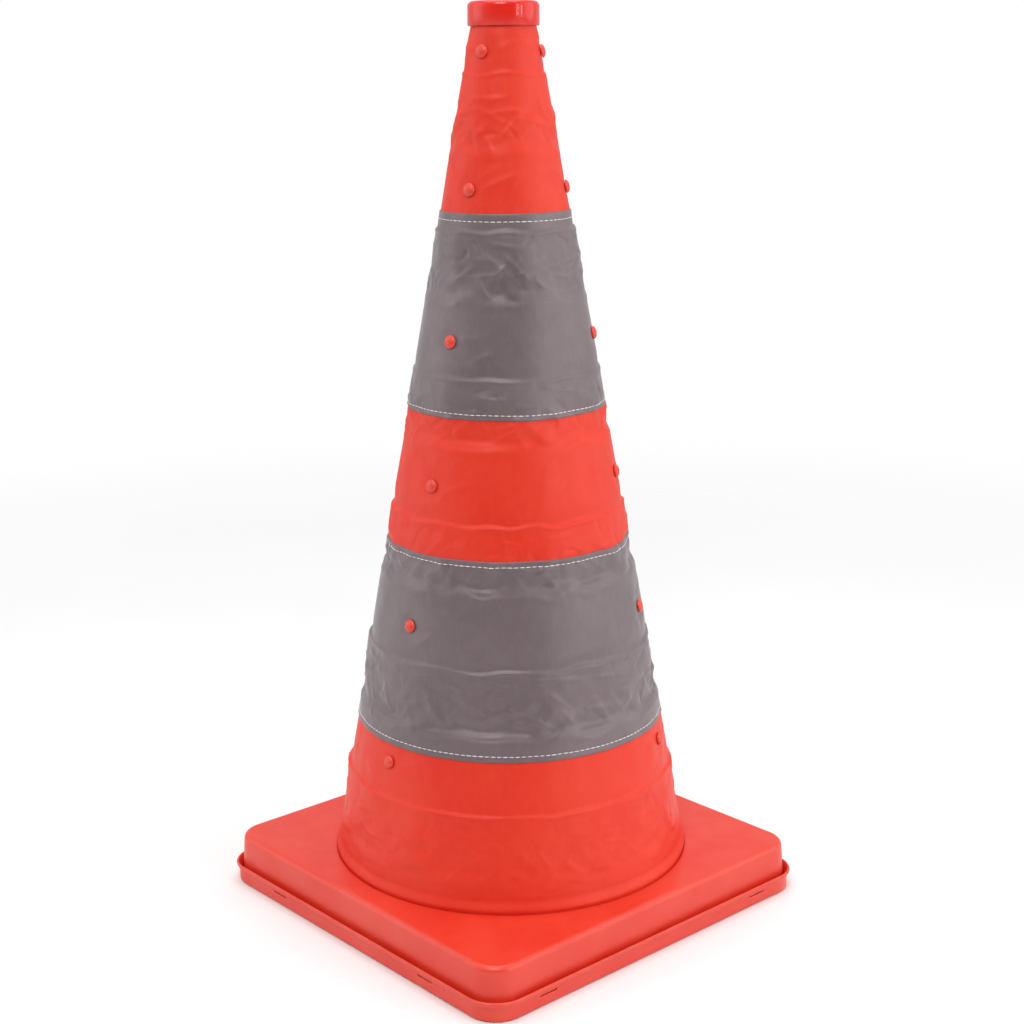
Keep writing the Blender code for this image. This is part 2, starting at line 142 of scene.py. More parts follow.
def soft_lamp(name, azimuth, height, distance, size, power):
    """A square soft lamp at an azimuth from the camera's own, aimed at the middle of the cone."""
    data = bpy.data.lights.new(name, "AREA")
    data.shape = "RECTANGLE"
    data.size, data.size_y = size
    data.energy = power
    lamp = bpy.data.objects.new(name, data)
    angle = VIEW_AZIMUTH + math.radians(azimuth)
    lamp.location = (distance * math.cos(angle), distance * math.sin(angle), height)
    lamp.rotation_mode = "QUATERNION"
    lamp.rotation_quaternion = (AIM - lamp.location).to_track_quat("-Z", "Y")
    bpy.context.scene.collection.objects.link(lamp)
    return lamp


soft_lamp("lamp_over", 180.0, 2.2, 0.3, (1.4, 1.4), 15.0)
soft_lamp("lamp_left", -92.0, 0.95, 1.8, (1.3, 1.9), 9.0)
soft_lamp("lamp_right", 92.0, 0.95, 1.8, (1.3, 1.9), 10.0)
soft_lamp("lamp_front", -12.0, 2.1, 1.5, (1.0, 0.8), 21.0)
soft_lamp("strip_near", 46.0, 0.75, 1.9, (0.05, 1.3), 4.5)
soft_lamp("strip_far", 60.0, 0.75, 1.9, (0.05, 1.3), 4.5)

SKY_SEEN = 1.0
SKY_AROUND, SKY_BEHIND_TRIPOD = 0.66, 0.14
DARK_FROM, DARK_TO = 0.35, 0.92  # cosines of the angle from the dark side's middle
sky = bpy.data.worlds.new("sky")
sky.use_nodes = True
sky_nodes = sky.node_tree.nodes
sky_nodes["Background"].inputs["Color"].default_value = (1.0, 1.0, 1.0, 1.0)
seen = sky_nodes.new("ShaderNodeLightPath")
direction = sky_nodes.new("ShaderNodeTexCoord")
facing_dark = sky_nodes.new("ShaderNodeVectorMath")
facing_dark.operation = "DOT_PRODUCT"
facing_dark.inputs[1].default_value = -level
sky.node_tree.links.new(direction.outputs["Generated"], facing_dark.inputs[0])
darkened = sky_nodes.new("ShaderNodeMapRange")
darkened.interpolation_type = "SMOOTHSTEP"
for socket, value in zip(
    ("From Min", "From Max", "To Min", "To Max"), (DARK_FROM, DARK_TO, SKY_AROUND, SKY_BEHIND_TRIPOD)
):
    darkened.inputs[socket].default_value = value
sky.node_tree.links.new(facing_dark.outputs["Value"], darkened.inputs["Value"])
level_of = sky_nodes.new("ShaderNodeMapRange")
level_of.inputs["To Max"].default_value = SKY_SEEN
sky.node_tree.links.new(darkened.outputs["Result"], level_of.inputs["To Min"])
sky.node_tree.links.new(seen.outputs["Is Camera Ray"], level_of.inputs["Value"])
sky.node_tree.links.new(level_of.outputs["Result"], sky_nodes["Background"].inputs["Strength"])
bpy.context.scene.world = sky
bpy.context.scene.view_settings.view_transform = "Standard"
bpy.context.scene.view_settings.look = "None"

# %% [markdown]
# ## Finishes
# A real moulded or woven surface is never one colour: a moulding has flow marks, a fine spark
# texture and paler edges, partly scuffs and partly a painted highlight, and a cloth has threads.
# Each finish below is a small tree of nodes. A helper makes the nodes so that each finish reads as
# a recipe: its colours, its pattern, its bump.


# %% A helper for finishes
class Finish:
    """A material with a Principled shader, and short calls for the nodes that feed it."""

    def __init__(self, name, roughness, **sockets):
        self.material = bpy.data.materials.new(name)
        self.material.use_nodes = True
        self.tree = self.material.node_tree
        self.shader = self.tree.nodes["Principled BSDF"]
        self.shader.inputs["Roughness"].default_value = roughness
        for socket, value in sockets.items():
            self.shader.inputs[socket.replace("_", " ")].default_value = value
        self.place = self.tree.nodes.new("ShaderNodeTexCoord")

    def node(self, kind, links=(), **settings):
        """A node with its settings and its links as (socket, source) pairs."""
        made = self.tree.nodes.new(kind)
        for name, value in settings.items():
            setattr(made, name, value)
        for socket, source in links:
            if hasattr(source, "is_output"):
                self.tree.links.new(source, made.inputs[socket])
            else:
                made.inputs[socket].default_value = source
        return made

    def where(self, source="Object", scale=(1.0, 1.0, 1.0)):
        """Coordinates for a pattern, scaled."""
        links = [("Vector", self.place.outputs[source]), ("Scale", scale)]
        return self.node("ShaderNodeMapping", links).outputs["Vector"]

    def noise(self, size, detail=2.0, stretch=(1.0, 1.0, 1.0), source="Object"):
        """Noise whose patches are about size metres across."""
        links = [("Vector", self.where(source, stretch)), ("Scale", 1.0 / size), ("Detail", detail)]
        return self.node("ShaderNodeTexNoise", links).outputs["Fac"]

    def ramp(self, value, low, high, start, end):
        """A value mapped from start..end to low..high."""
        names = ("From Min", "From Max", "To Min", "To Max")
        links = [("Value", value), *zip(names, (start, end, low, high))]
        return self.node("ShaderNodeMapRange", links).outputs["Result"]

    def maths(self, operation, first, second):
        """A sum, product or the like of two values."""
        return self.node("ShaderNodeMath", [(0, first), (1, second)], operation=operation).outputs[0]

    def mix(self, share, first, second):
        """Two colours mixed by a share."""
        made = self.node("ShaderNodeMix", data_type="RGBA")
        for socket, source in ((0, share), (6, first), (7, second)):
            if hasattr(source, "is_output"):
                self.tree.links.new(source, made.inputs[socket])
            else:
                made.inputs[socket].default_value = source
        return made.outputs[2]

    def feed(self, socket, source):
        """Link a source to the shader."""
        self.tree.links.new(source, self.shader.inputs[socket])

    def bump(self, heights):
        """Bumps one over another: (height, depth in metres, strength) for each."""
        normal = None
        for height, depth, strength in heights:
            links = [("Height", height), ("Distance", depth), ("Strength", strength)]
            if normal is not None:
                links.append(("Normal", normal))
            normal = self.node("ShaderNodeBump", links).outputs["Normal"]
        self.feed("Normal", normal)


# %% [markdown]
# ### Moulded orange plastic
# The cap, the rivets and both halves of the base are moulded in one orange polypropylene. It has
# a fine spark texture from the mould, broad cloudy flow marks, and paler edges, which are partly
# scuffs and partly a painted highlight. Pointiness finds the convex edges of a mesh, where a hand or
# the ground would rub and where a highlight runs, and a patchy noise breaks the pale edge up.

# %% Orange plastic


def moulded(name, deep, pale, scuff_and_highlight_colour, roughness, specular):
    """Moulded plastic: cloudy colour, paler edges that are partly scuffs and partly a painted highlight, spark texture.
    """
    finish = Finish(name, roughness, Specular_IOR_Level=specular)
    cloud = finish.ramp(finish.noise(0.045, 3.0), 0.0, 1.0, 0.35, 0.65)
    colour = finish.mix(cloud, deep, pale)
    # Paler convex edges: partly scuffs, partly a painted highlight along each edge.
    point = finish.node("ShaderNodeNewGeometry").outputs["Pointiness"]
    edge = finish.ramp(point, 0.0, 1.0, 0.515, 0.60)
    scuff_and_highlight_mask = finish.maths("MULTIPLY", edge, finish.ramp(finish.noise(0.012, 4.0), 0.15, 0.8, 0.4, 0.7))
    finish.feed("Base Color", finish.mix(scuff_and_highlight_mask, colour, scuff_and_highlight_colour))
    gloss = finish.noise(0.02, 4.0)
    finish.feed("Roughness", finish.ramp(gloss, roughness - 0.06, roughness + 0.09, 0.3, 0.7))
    spark = finish.noise(0.0009, 1.0)
    flow = finish.noise(0.03, 1.0, (1.0, 1.0, 0.4))
    finish.bump([(flow, 0.0008, 0.25), (spark, 0.00006, 0.35)])
    return finish.material


# The third colour of each plastic is its pale edge: partly scuff, partly a painted highlight.
ORANGE_PLASTIC = moulded(
    "orange_plastic",
    (0.71, 0.031, 0.012, 1.0),
    (0.74, 0.045, 0.020, 1.0),
    (0.78, 0.13, 0.08, 1.0),
    0.40,
    0.62,
)
CAP_PLASTIC = moulded(
    "polished_orange_plastic",
    (0.75, 0.014, 0.008, 1.0),
    (0.78, 0.020, 0.011, 1.0),
    (0.82, 0.12, 0.08, 1.0),
    0.17,
    0.45,
)
RING_PLASTIC = moulded(
    "ring_plastic",
    (0.70, 0.050, 0.026, 1.0),
    (0.74, 0.085, 0.045, 1.0),
    (0.8, 0.2, 0.14, 1.0),
    0.50,
    0.45,
)

# %% [markdown]
# ### Coated cloth
# The sleeve is a plain woven nylon with a coat of colour, and the bands are the same cloth with a
# layer of glass beads. Both show their threads. A plain weave is a product of two waves, one for
# each set of threads, so its bump is one wave along the cloth times one across it. Its colour is
# also darkened where the weave is low, as painted shade between the threads. The weave reads the
# cloth's own UV map, which is in metres of flat cloth, so the threads bend round the cone as cut
# cloth does, and keep their size from the cap to the hem.

# %% Woven cloth


def woven(name, roughness, colours, thread, **sockets):
    """Coated plain weave, its colour clouded at two sizes, with painted shade where the weave is low."""
    finish = Finish(name, roughness, **sockets)
    cloth = finish.where("UV")
    parts = finish.node("ShaderNodeSeparateXYZ", [("Vector", cloth)])
    across = finish.maths("SINE", finish.maths("MULTIPLY", parts.outputs["X"], math.pi / thread), 0.0)
    along = finish.maths("SINE", finish.maths("MULTIPLY", parts.outputs["Y"], math.pi / thread), 0.0)
    weave = finish.maths("MULTIPLY_ADD", finish.maths("MULTIPLY", across, along), 0.5)
    finish.tree.nodes[-1].inputs[2].default_value = 0.5
    deep, mid, pale = colours
    cloud = finish.ramp(finish.noise(0.07, 3.0), 0.0, 1.0, 0.36, 0.64)
    colour = finish.mix(cloud, deep, mid)
    slub = finish.ramp(finish.noise(0.004, 2.0, (1.0, 1.0, 0.5)), 0.0, 0.35, 0.45, 0.8)
    colour = finish.mix(slub, colour, pale)
    # Painted shade: the colour is darkened towards the deep colour where the weave is low, between the threads.
    shade = finish.ramp(weave, 0.0, 0.25, 0.0, 0.35)
    finish.feed("Base Color", finish.mix(finish.maths("SUBTRACT", 0.25, shade), colour, deep))
    rough = finish.ramp(finish.noise(0.015, 3.0), roughness - 0.06, roughness + 0.06, 0.3, 0.7)
    finish.feed("Roughness", rough)
    crumple = finish.noise(0.009, 3.0)
    finish.bump([(crumple, 0.0004, 0.30), (weave, 0.00008, 0.45)])
    return finish.material


ORANGE_FABRIC = woven(
    "orange_fabric",
    0.50,
    ((0.73, 0.026, 0.008, 1.0), (0.75, 0.036, 0.012, 1.0), (0.77, 0.056, 0.025, 1.0)),
    0.0007,
    Specular_IOR_Level=0.36,
)
REFLECTIVE_FABRIC = woven(
    "reflective_fabric",
    0.48,
    ((0.141, 0.102, 0.111, 1.0), (0.162, 0.119, 0.129, 1.0), (0.194, 0.151, 0.159, 1.0)),
    0.0009,
    Specular_IOR_Level=0.75,
    Sheen_Weight=0.25,
    Sheen_Roughness=0.35,
    Metallic=0.15,
)

# %% [markdown]
# ### Thread, steel and rubber
# The sewing thread is a twisted off-white polyester, the spring is drawn steel wire with fine
# lines along it, and the feet are black rubber. They are small, so each has one colour pattern
# and one bump.


# %% Small finishes
def speckled(name, roughness, first, second, grain, depth, **sockets):
    """A finish of two colours in small patches, with a bump of the same grain."""
    finish = Finish(name, roughness, **sockets)
    patch = finish.noise(grain, 3.0)
    finish.feed("Base Color", finish.mix(finish.ramp(patch, 0.0, 1.0, 0.35, 0.65), first, second))
    finish.feed("Roughness", finish.ramp(patch, roughness - 0.05, roughness + 0.07, 0.3, 0.7))
    finish.bump([(finish.noise(grain / 3.0, 1.0), depth, 0.4)])
    return finish.material


THREAD = speckled(
    "sewing_thread", 0.65, (0.70, 0.66, 0.64, 1.0), (0.84, 0.81, 0.79, 1.0), 0.0012, 0.0001, Sheen_Weight=0.2
)
STEEL = speckled(
    "spring_steel", 0.30, (0.42, 0.42, 0.43, 1.0), (0.52, 0.52, 0.53, 1.0), 0.003, 0.00002, Metallic=1.0
)
RUBBER = speckled("black_rubber", 0.75, (0.014, 0.014, 0.014, 1.0), (0.03, 0.03, 0.03, 1.0), 0.002, 0.00005)
FLOOR_PAINT = speckled("pale_floor", 0.7, (0.86, 0.86, 0.86, 1.0), (0.88, 0.88, 0.88, 1.0), 0.3, 0.0001)
print("finishes:", [ORANGE_PLASTIC.name, ORANGE_FABRIC.name, REFLECTIVE_FABRIC.name, THREAD.name, STEEL.name])

# %% The floor
# Far from the cone the floor fades into the sky, so that no horizon shows.
FLOOR_RADIUS = 6.0
FADE_FROM, FADE_TO = 0.45, 1.9
floor_tree = FLOOR_PAINT.node_tree
distance = floor_tree.nodes.new("ShaderNodeVectorMath")
distance.operation = "LENGTH"
floor_tree.links.new(floor_tree.nodes["Texture Coordinate"].outputs["Object"], distance.inputs[0])
fade = floor_tree.nodes.new("ShaderNodeMapRange")
fade.interpolation_type = "SMOOTHSTEP"
fade.inputs["From Min"].default_value = FADE_FROM
fade.inputs["From Max"].default_value = FADE_TO
clear = floor_tree.nodes.new("ShaderNodeBsdfTransparent")
either = floor_tree.nodes.new("ShaderNodeMixShader")
floor_tree.links.new(distance.outputs["Value"], fade.inputs["Value"])
floor_tree.links.new(fade.outputs["Result"], either.inputs["Fac"])
floor_tree.links.new(floor_tree.nodes["Principled BSDF"].outputs[0], either.inputs[1])
floor_tree.links.new(clear.outputs[0], either.inputs[2])
floor_tree.links.new(either.outputs[0], floor_tree.nodes["Material Output"].inputs["Surface"])

floor_mesh = bpy.data.meshes.new("floor")
floor_bm = bmesh.new()
bmesh.ops.create_circle(floor_bm, cap_ends=True, segments=96, radius=FLOOR_RADIUS)
floor_bm.to_mesh(floor_mesh)
floor_bm.free()
floor = bpy.data.objects.new("floor", floor_mesh)
floor_mesh.materials.append(FLOOR_PAINT)
bpy.context.scene.collection.objects.link(floor)

# %% [markdown]
# ## Helpers for meshes
# Every piece is made with its place already in its mesh, so its object stays at the origin. A
# piece then gets its finish, the CAD nodes it stands for are hidden, and each piece but the cloth
# and its stitches is hung on the body it rides on.


# %% Pieces and their bookkeeping
def add_piece(name, mesh, finish):
    """An object of a mesh with its finish, smooth, at the origin."""
    mesh.materials.clear()
    mesh.materials.append(finish)
    obj = bpy.data.objects.new(name, mesh)
    bpy.context.scene.collection.objects.link(obj)
    return obj


def mesh_of(name, points, faces):
    """A smooth mesh of points and faces."""
    mesh = bpy.data.meshes.new(name)
    mesh.from_pydata(points, [], faces)
    mesh.update()
    mesh.shade_smooth()
    return mesh


def loft(name, loops, closed=False, cap_first=False, cap_last=False):
    """Faces between rings of points. The loops run so that the faces look outwards."""
    count = len(loops[0])
    points = np.concatenate(loops)
    faces = []
    pairs = list(zip(range(len(loops) - 1), range(1, len(loops))))
    if closed:
        pairs.append((len(loops) - 1, 0))
    for first, second in pairs:
        for step in range(count):
            after = (step + 1) % count
            corner = [first * count + step, first * count + after]
            corner += [second * count + after, second * count + step]
            faces.append(tuple(corner))
    points = [tuple(point) for point in points]
    for wanted, index, order in ((cap_first, 0, -1), (cap_last, len(loops) - 1, 1)):
        if wanted:
            points.append(tuple(np.mean(loops[index], axis=0)))
            for step in range(count):
                edge = (index * count + step, index * count + (step + 1) % count)
                faces.append((*edge[::order], len(points) - 1))
    return mesh_of(name, points, faces)


def circle(radius, height, steps=128):
    """A round loop of points."""
    angle = np.arange(steps) / steps * 2.0 * math.pi
    return np.stack([radius * np.cos(angle), radius * np.sin(angle), np.full(steps, height)], axis=1)


def soften(obj, degrees=40.0):
    """Smooth shading that keeps the sharp edges."""
    obj.data.shade_smooth()
    obj.data.set_sharp_from_angle(angle=math.radians(degrees))
    return obj


# %% [markdown]
# ## The sleeve's folds
# The sleeve is the largest thing on the cone. It is tight where it is riveted to a ring, and slack
# in the 49 mm between one ring and the next, where the cloth has been folded many times. A cloth
# simulation could crumple it, but the folds of this cone follow a rule: a soft fold over each
# ring's top edge, a waist above it with a row of small V-shaped puckers, a bulge, and a crisp
# crease under the next ring. So the folds are written as a height over the cone, which is also
# exact at every rivet and in the base's opening, and gives the same cloth on each run.

# %% Soft waves round the cone
fold_dice = np.random.default_rng(20)


def waves(count, radius, shortest, longest, tall):
    """Random waves round the cone: whole turns, so that they meet at the seam."""
    turns = 2.0 * math.pi * radius / fold_dice.uniform(shortest, longest, count)
    climb = fold_dice.uniform(-1.0, 1.0, count) * 2.0 * math.pi / tall
    phase = fold_dice.uniform(0.0, 2.0 * math.pi, count)
    return np.stack([np.maximum(np.round(turns), 1.0), climb, phase], axis=1)


def wave_height(azimuth, height, chosen):
    """The sum of some waves, about -1 to 1."""
    total = 0.0
    for turns, climb, phase in chosen:
        total = total + np.sin(turns * azimuth + climb * height + phase)
    return total / math.sqrt(len(chosen))


def ease(value):
    """0 to 1 with soft ends."""
    value = np.clip(value, 0.0, 1.0)
    return value * value * (3.0 - 2.0 * value)


def through(value, stations):
    """A soft line through (place, height) stations."""
    result = np.full_like(value, stations[0][1])
    for (start, low), (end, high) in zip(stations, stations[1:]):
        result = np.where(value > start, low + (high - low) * ease((value - start) / (end - start)), result)
    return result


# %% [markdown]
# Each slack stretch has its own numbers, in millimetres: how deep the waist is, how far the cloth
# bulges above it and just under the next ring, how deep the crease is, and how strong the puckers
# are. The stretches low on the cone are longer round, so they take more puckers.

# %% The slack stretches
# ring above: (waist, bulge, lip under the crease, crease depth, pucker)
SLACK = {
    1: (-0.2, 0.2, 0.0, 0.5, 0.55),
    2: (-1.0, 0.8, 1.0, 1.5, 0.60),
    3: (-1.3, 0.7, 0.5, 1.1, 0.55),
    4: (-1.9, 0.6, 0.9, 1.4, 0.55),
    5: (-2.6, 0.4, 0.6, 1.3, 0.60),
    6: (0.2, 0.8, 1.5, 1.5, 0.35),
}
RING_STAND = 0.25  # how far the cloth stands off a ring

slack_waves = {}
for ring in SLACK:
    middle = cone_radius((RING_TOP[ring + 1] + RING_BOTTOM[ring]) / 2)
    slack_waves[ring] = {
        "waver": waves(5, middle, 0.030, 0.09, 10.0),
        "waver_low": waves(6, middle, 0.022, 0.06, 10.0),
        "amount": waves(4, middle, 0.05, 0.14, 10.0),
        "bend": waves(5, middle, 0.035, 0.10, 0.12),
        "lobes": waves(5, middle, 0.040, 0.11, 0.11),
        "crumple": waves(9, middle, 0.014, 0.030, 0.030),
        "count": max(4, round(2.0 * math.pi * middle / 0.034)),
    }
ring_waves = {ring: waves(7, cone_radius(RING_TOP[ring] - 0.03), 0.02, 0.07, 0.09) for ring in RINGS}


def tri(angle):
    """A zigzag wave with slightly rounded corners, -1 to 1."""
    return np.arcsin(0.985 * np.sin(angle)) / 1.397


def slack_fold(azimuth, height, ring):
    """Folds in mm over the slack stretch under a ring, and its share there."""
    chosen = slack_waves[ring]
    waist, bulge, lip, crease, pucker = SLACK[ring]
    above = (height - RING_TOP[ring + 1]) / MM
    tall = (RING_BOTTOM[ring] - RING_TOP[ring + 1]) / MM
    share = above / tall
    low = 1.6 * wave_height(azimuth, height, chosen["waver_low"])
    high = 0.9 * wave_height(azimuth, height, chosen["waver"])
    place = above + low * (1.0 - np.clip(share, 0, 1)) + high * np.clip(share, 0, 1)
    amount = 1.0 + 0.40 * wave_height(azimuth, height, chosen["amount"])
    stations = [
        (-8.0, 0.0),
        (-3.5, 0.25),
        (5.5, waist - RING_STAND),
        (15.0, 0.65 * waist),
        (tall - 13.0, bulge),
        (tall - 1.4, lip),
        (tall + 1.4, lip - crease),
        (tall + 11.0, 0.0),
    ]
    fold = through(place, stations) * amount
    # The thread of light along the ring's bottom edge: a ridge about 2 mm wide.
    fold = fold + 0.5 * np.exp(-(((place - tall + 1.2) / 1.0) ** 2)) * np.clip(amount, 0.3, 1.5)
    # V-shaped puckers: two slanted zigzags, strongest just over the ring.
    slant = 0.5 * chosen["count"] * 2.0
    turned = azimuth * slant + 1.2 * wave_height(azimuth, height, chosen["bend"])
    climb = above * (math.pi / 17.0)
    envelope = ease((above + 1.0) / 6.0) * ease((40.0 - above) / 26.0)
    zigzag = tri(turned + climb) + tri(turned - climb + 0.9)
    fold = fold + pucker * envelope * zigzag * (0.55 + 0.45 * wave_height(azimuth, height, chosen["lobes"]))
    slack = ease((above + 2.0) / 8.0) * ease((tall + 2.0 - above) / 8.0)
    fold = fold + slack * 0.65 * wave_height(azimuth, height, chosen["lobes"])
    fold = fold + slack * 0.13 * wave_height(azimuth, height, chosen["crumple"])
    return fold


# %% [markdown]
# Cloth that has been folded many times also keeps sharp creases. They could be drawn by hand, but
# there are hundreds, so they are dealt out by a rule with a fixed seed. There are four kinds:
# short slanted puckers that lean left and right in turn, level pull lines, long slants from
# where the cone was twisted, and dents. A kind says how far apart its creases are round the cone
# and between which limits each one is drawn. A crease falls off quickly on one side and slowly on
# the other, and bows a little, as a crease in a coated cloth does.

# %% Where the rivets are
RIVETS_PER_RING = 3
RIVET_RADIUS = 0.005


def rivet_points(ring):
    """Azimuth and height of a ring's rivets, where their CAD nodes' middles project on the cone."""
    found = []
    for letter in "abc":
        low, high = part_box(f"rivet_{ring}_{letter}")
        middle = (low + high) / 2
        out = math.hypot(middle.x, middle.y) - GROUND_RADIUS
        height = (middle.z + out * CONE_SLOPE) / (1.0 + CONE_SLOPE**2)
        found.append((math.atan2(middle.y, middle.x), height))
    return found


RIVETS = {ring: rivet_points(ring) for ring in RINGS}
print("rivet rows at", [round(RIVETS[ring][0][1], 4) for ring in RINGS])

# %% Creases by rule
crease_dice = np.random.default_rng(7)
# kind: mm of girth each, middle as a share of the slack, length, slant in degrees, width, rise
CREASE_KINDS = {
    "pucker": (13.0, (0.08, 0.50), (13.0, 32.0), (22.0, 58.0), (3.4, 6.2), (0.50, 1.00)),
    "pull": (15.0, (0.30, 0.95), (16.0, 44.0), (0.0, 14.0), (2.4, 4.2), (0.30, 0.70)),
    "long": (48.0, (0.35, 0.65), (36.0, 58.0), (18.0, 48.0), (5.0, 9.0), (0.40, 0.70)),
    "dent": (14.0, (0.12, 0.90), (9.0, 24.0), (8.0, 75.0), (3.0, 5.0), (-0.80, -0.35)),
}


def deal_creases(ring):
    """The creases of a slack stretch: azimuth, height, length, slant, width, rise and bow, in mm."""
    low, high = RING_TOP[ring + 1] / MM, RING_BOTTOM[ring] / MM
    dealt = []
    softness = SLACK[ring][4] / 0.55
    for apart, shares, lengths, slants, widths, rises in CREASE_KINDS.values():
        count = round(2.0 * math.pi * cone_radius((low + high) / 2 * MM) / MM / apart)
        for index in range(count):
            azimuth = (index + crease_dice.uniform(0.1, 0.9)) / count * 2.0 * math.pi
            middle = low + (high - low) * crease_dice.uniform(*shares)
            lean = 1.0 if index % 2 else -1.0
            slant = lean * math.radians(crease_dice.uniform(*slants))
            sizes = [crease_dice.uniform(*limits) for limits in (lengths, widths, rises)]
            sizes[2] *= softness
            dealt.append((azimuth, middle, slant, *sizes, crease_dice.uniform(-1.6, 1.6)))
    return dealt


def deal_pulls(ring):
    """Pull lines near a ring's rivets, which are weaker than the creases of the slack."""
    dealt = []
    for rivet_azimuth, rivet_height in RIVETS[ring]:
        for index in range(PULLS_PER_RIVET):
            aside = crease_dice.uniform(8.0, 26.0) * (1.0 if index % 2 else -1.0)
            azimuth = rivet_azimuth + aside * MM / cone_radius(rivet_height)
            middle = rivet_height / MM + crease_dice.uniform(-13.0, 13.0)
            slant = math.radians(crease_dice.uniform(8.0, 38.0)) * (1.0 if aside > 0.0 else -1.0)
            sizes = [crease_dice.uniform(*limits) for limits in ((18.0, 40.0), (3.5, 6.0), (0.25, 0.55))]
            dealt.append((azimuth, middle, slant, *sizes, crease_dice.uniform(-2.5, 2.5)))
    return dealt


PULLS_PER_RIVET = 4
creases = {ring: deal_creases(ring) for ring in SLACK}
pulls = {ring: deal_pulls(ring) for ring in RINGS}
print("creases:", {ring: len(dealt) + len(pulls[ring]) for ring, dealt in creases.items()})


def crease_heights(azimuth, height, dealt):
    """The sum of some creases, in mm."""
    total = np.zeros_like(height)
    girth = cone_radius(height) / MM
    for middle, level, slant, length, width, rise, bow in dealt:
        x = ((azimuth - middle + math.pi) % (2.0 * math.pi) - math.pi) * girth
        y = height / MM - level
        run = x * math.cos(slant) + y * math.sin(slant)
        off = y * math.cos(slant) - x * math.sin(slant) + bow * (2.0 * run / length) ** 2
        taper = ease((length / 2 + width / 2 - np.abs(run)) / (0.35 * length))
        side = np.where(off > 0.0, 0.32, 0.62) * width
        total = total + rise * taper / (1.0 + (np.abs(off) / side) ** 2.2)
    return total


# %% [markdown]
# Last come the limits. The cloth lies on its rings, is held down by every rivet, slips into the
# base's opening and ends under the cap, so each of those places bounds the folds.

# %% The whole relief
SEAM_AZIMUTH = math.radians(105.0)
SEAM_WIDTH = 0.008


def relief(azimuth, height):
    """How far the cloth stands out from the plain cone, in metres."""
    fold = np.full_like(height, RING_STAND)
    for ring in SLACK:
        near = (height > RING_TOP[ring + 1] - 0.012) & (height < RING_BOTTOM[ring] + 0.014)
        if near.any():
            fold = fold + np.where(near, slack_fold(azimuth, height, ring), 0.0)
            fold = fold + np.where(near, crease_heights(azimuth, height, creases[ring]), 0.0)
    for ring in RINGS:
        inside = ease((height - RING_BOTTOM[ring] - 0.004) / 0.012)
        inside = inside * ease((RING_TOP[ring] - height - 0.004) / 0.012)
        fold = fold + 0.22 * inside * wave_height(azimuth, height, ring_waves[ring])
        if inside.any():
            fold = fold + inside * crease_heights(azimuth, height, pulls[ring])
    # The lapped seam at the back is twice as thick, with a soft step each side.
    across = np.abs((azimuth - SEAM_AZIMUTH + math.pi) % (2 * math.pi) - math.pi) * cone_radius(height)
    fold = fold + 0.55 * ease((SEAM_WIDTH / 2 + 0.0012 - across) / 0.0012)
    for ring in RINGS:
        on_ring = ease((height - RING_BOTTOM[ring] + 0.0035) / 0.003)
        on_ring = on_ring * ease((RING_TOP[ring] + 0.0035 - height) / 0.003)
        fold = np.where(fold < -0.55, fold + on_ring * (-0.55 - fold), fold)
        for rivet_azimuth, rivet_height in RIVETS[ring]:
            apart = (azimuth - rivet_azimuth + math.pi) % (2 * math.pi) - math.pi
            distance = np.hypot(apart * cone_radius(height), height - rivet_height)
            held = ease((0.013 - distance) / 0.0075)
            fold = fold + held * (-0.12 - fold)
    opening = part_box("base_shell")[1].z
    tucked = ease((opening + 0.016 - height) / 0.008)
    roll = through((height - opening) / MM, [(-2.0, 0.3), (0.0, 0.45), (2.4, 1.6), (10.0, -0.1), (16.0, 0.2)])
    fold = fold + tucked * (roll + 0.12 * np.clip(fold, -1.0, 1.0) - fold)
    capped = ease((height - 0.676) / 0.005)
    fold = fold + capped * (np.clip(fold, -0.3, 0.05) - fold)
    return fold * MM


# %% [markdown]
# ## Sleeve and bands
# The sleeve is one cloth, but here it is six pieces, one for each stretch between two rings that a
# joint of the cone moves. The pieces meet on the rings. Each is a grid of points over the cone with
# the folds added, about a millimetre apart, so the creases are real shape. The UV map is the flat
# cutting pattern, a sector of a disc.

# %% Cloth tubes
PANEL_TURN = math.sin(HALF_ANGLE)
APEX = GROUND_RADIUS / -CONE_SLOPE
ROW = 0.0012


def cloth_tube(name, low, high, columns, lift, finish, hems=()):
    """A stretch of cloth between two heights. lift is a function of height: its stand-off in metres."""
    heights = np.linspace(low, high, max(2, round((high - low) / ROW)) + 1)
    extra = [low + step for step in (0.0002, 0.0005)] if low in hems else []
    extra += [high - step for step in (0.0005, 0.0002)] if high in hems else []
    heights = np.unique(np.concatenate([heights, extra]))
    angle = SEAM_AZIMUTH + np.arange(columns) / columns * 2.0 * math.pi
    azimuth, height = np.meshgrid(angle, heights)
    radius = cone_radius(height) + relief(azimuth, height) + lift(height)
    points = np.stack([radius * np.cos(azimuth), radius * np.sin(azimuth), height], axis=-1)
    row, column = np.meshgrid(np.arange(len(heights) - 1), np.arange(columns), indexing="ij")
    after = (column + 1) % columns
    first, second = row * columns + column, row * columns + after
    faces = np.stack([first, second, second + columns, first + columns], axis=-1).reshape(-1, 4)
    mesh = mesh_of(name, points.reshape(-1, 3), faces)
    # The flat pattern: distance from the cone's point, and the angle that the sector has there.
    slant = (APEX - heights) / math.cos(HALF_ANGLE)
    turned = (np.arange(columns + 1) / columns - 0.5) * 2.0 * math.pi * PANEL_TURN
    corners = [(row, column), (row, column + 1), (row + 1, column + 1), (row + 1, column)]
    flat = [
        np.stack([slant[r] * np.sin(turned[c]), -slant[r] * np.cos(turned[c])], axis=-1) for r, c in corners
    ]
    uv = mesh.uv_layers.new(name="flat_cloth")
    uv.data.foreach_set("uv", np.stack(flat, axis=2).astype(np.float32).ravel())
    return add_piece(name, mesh, finish)


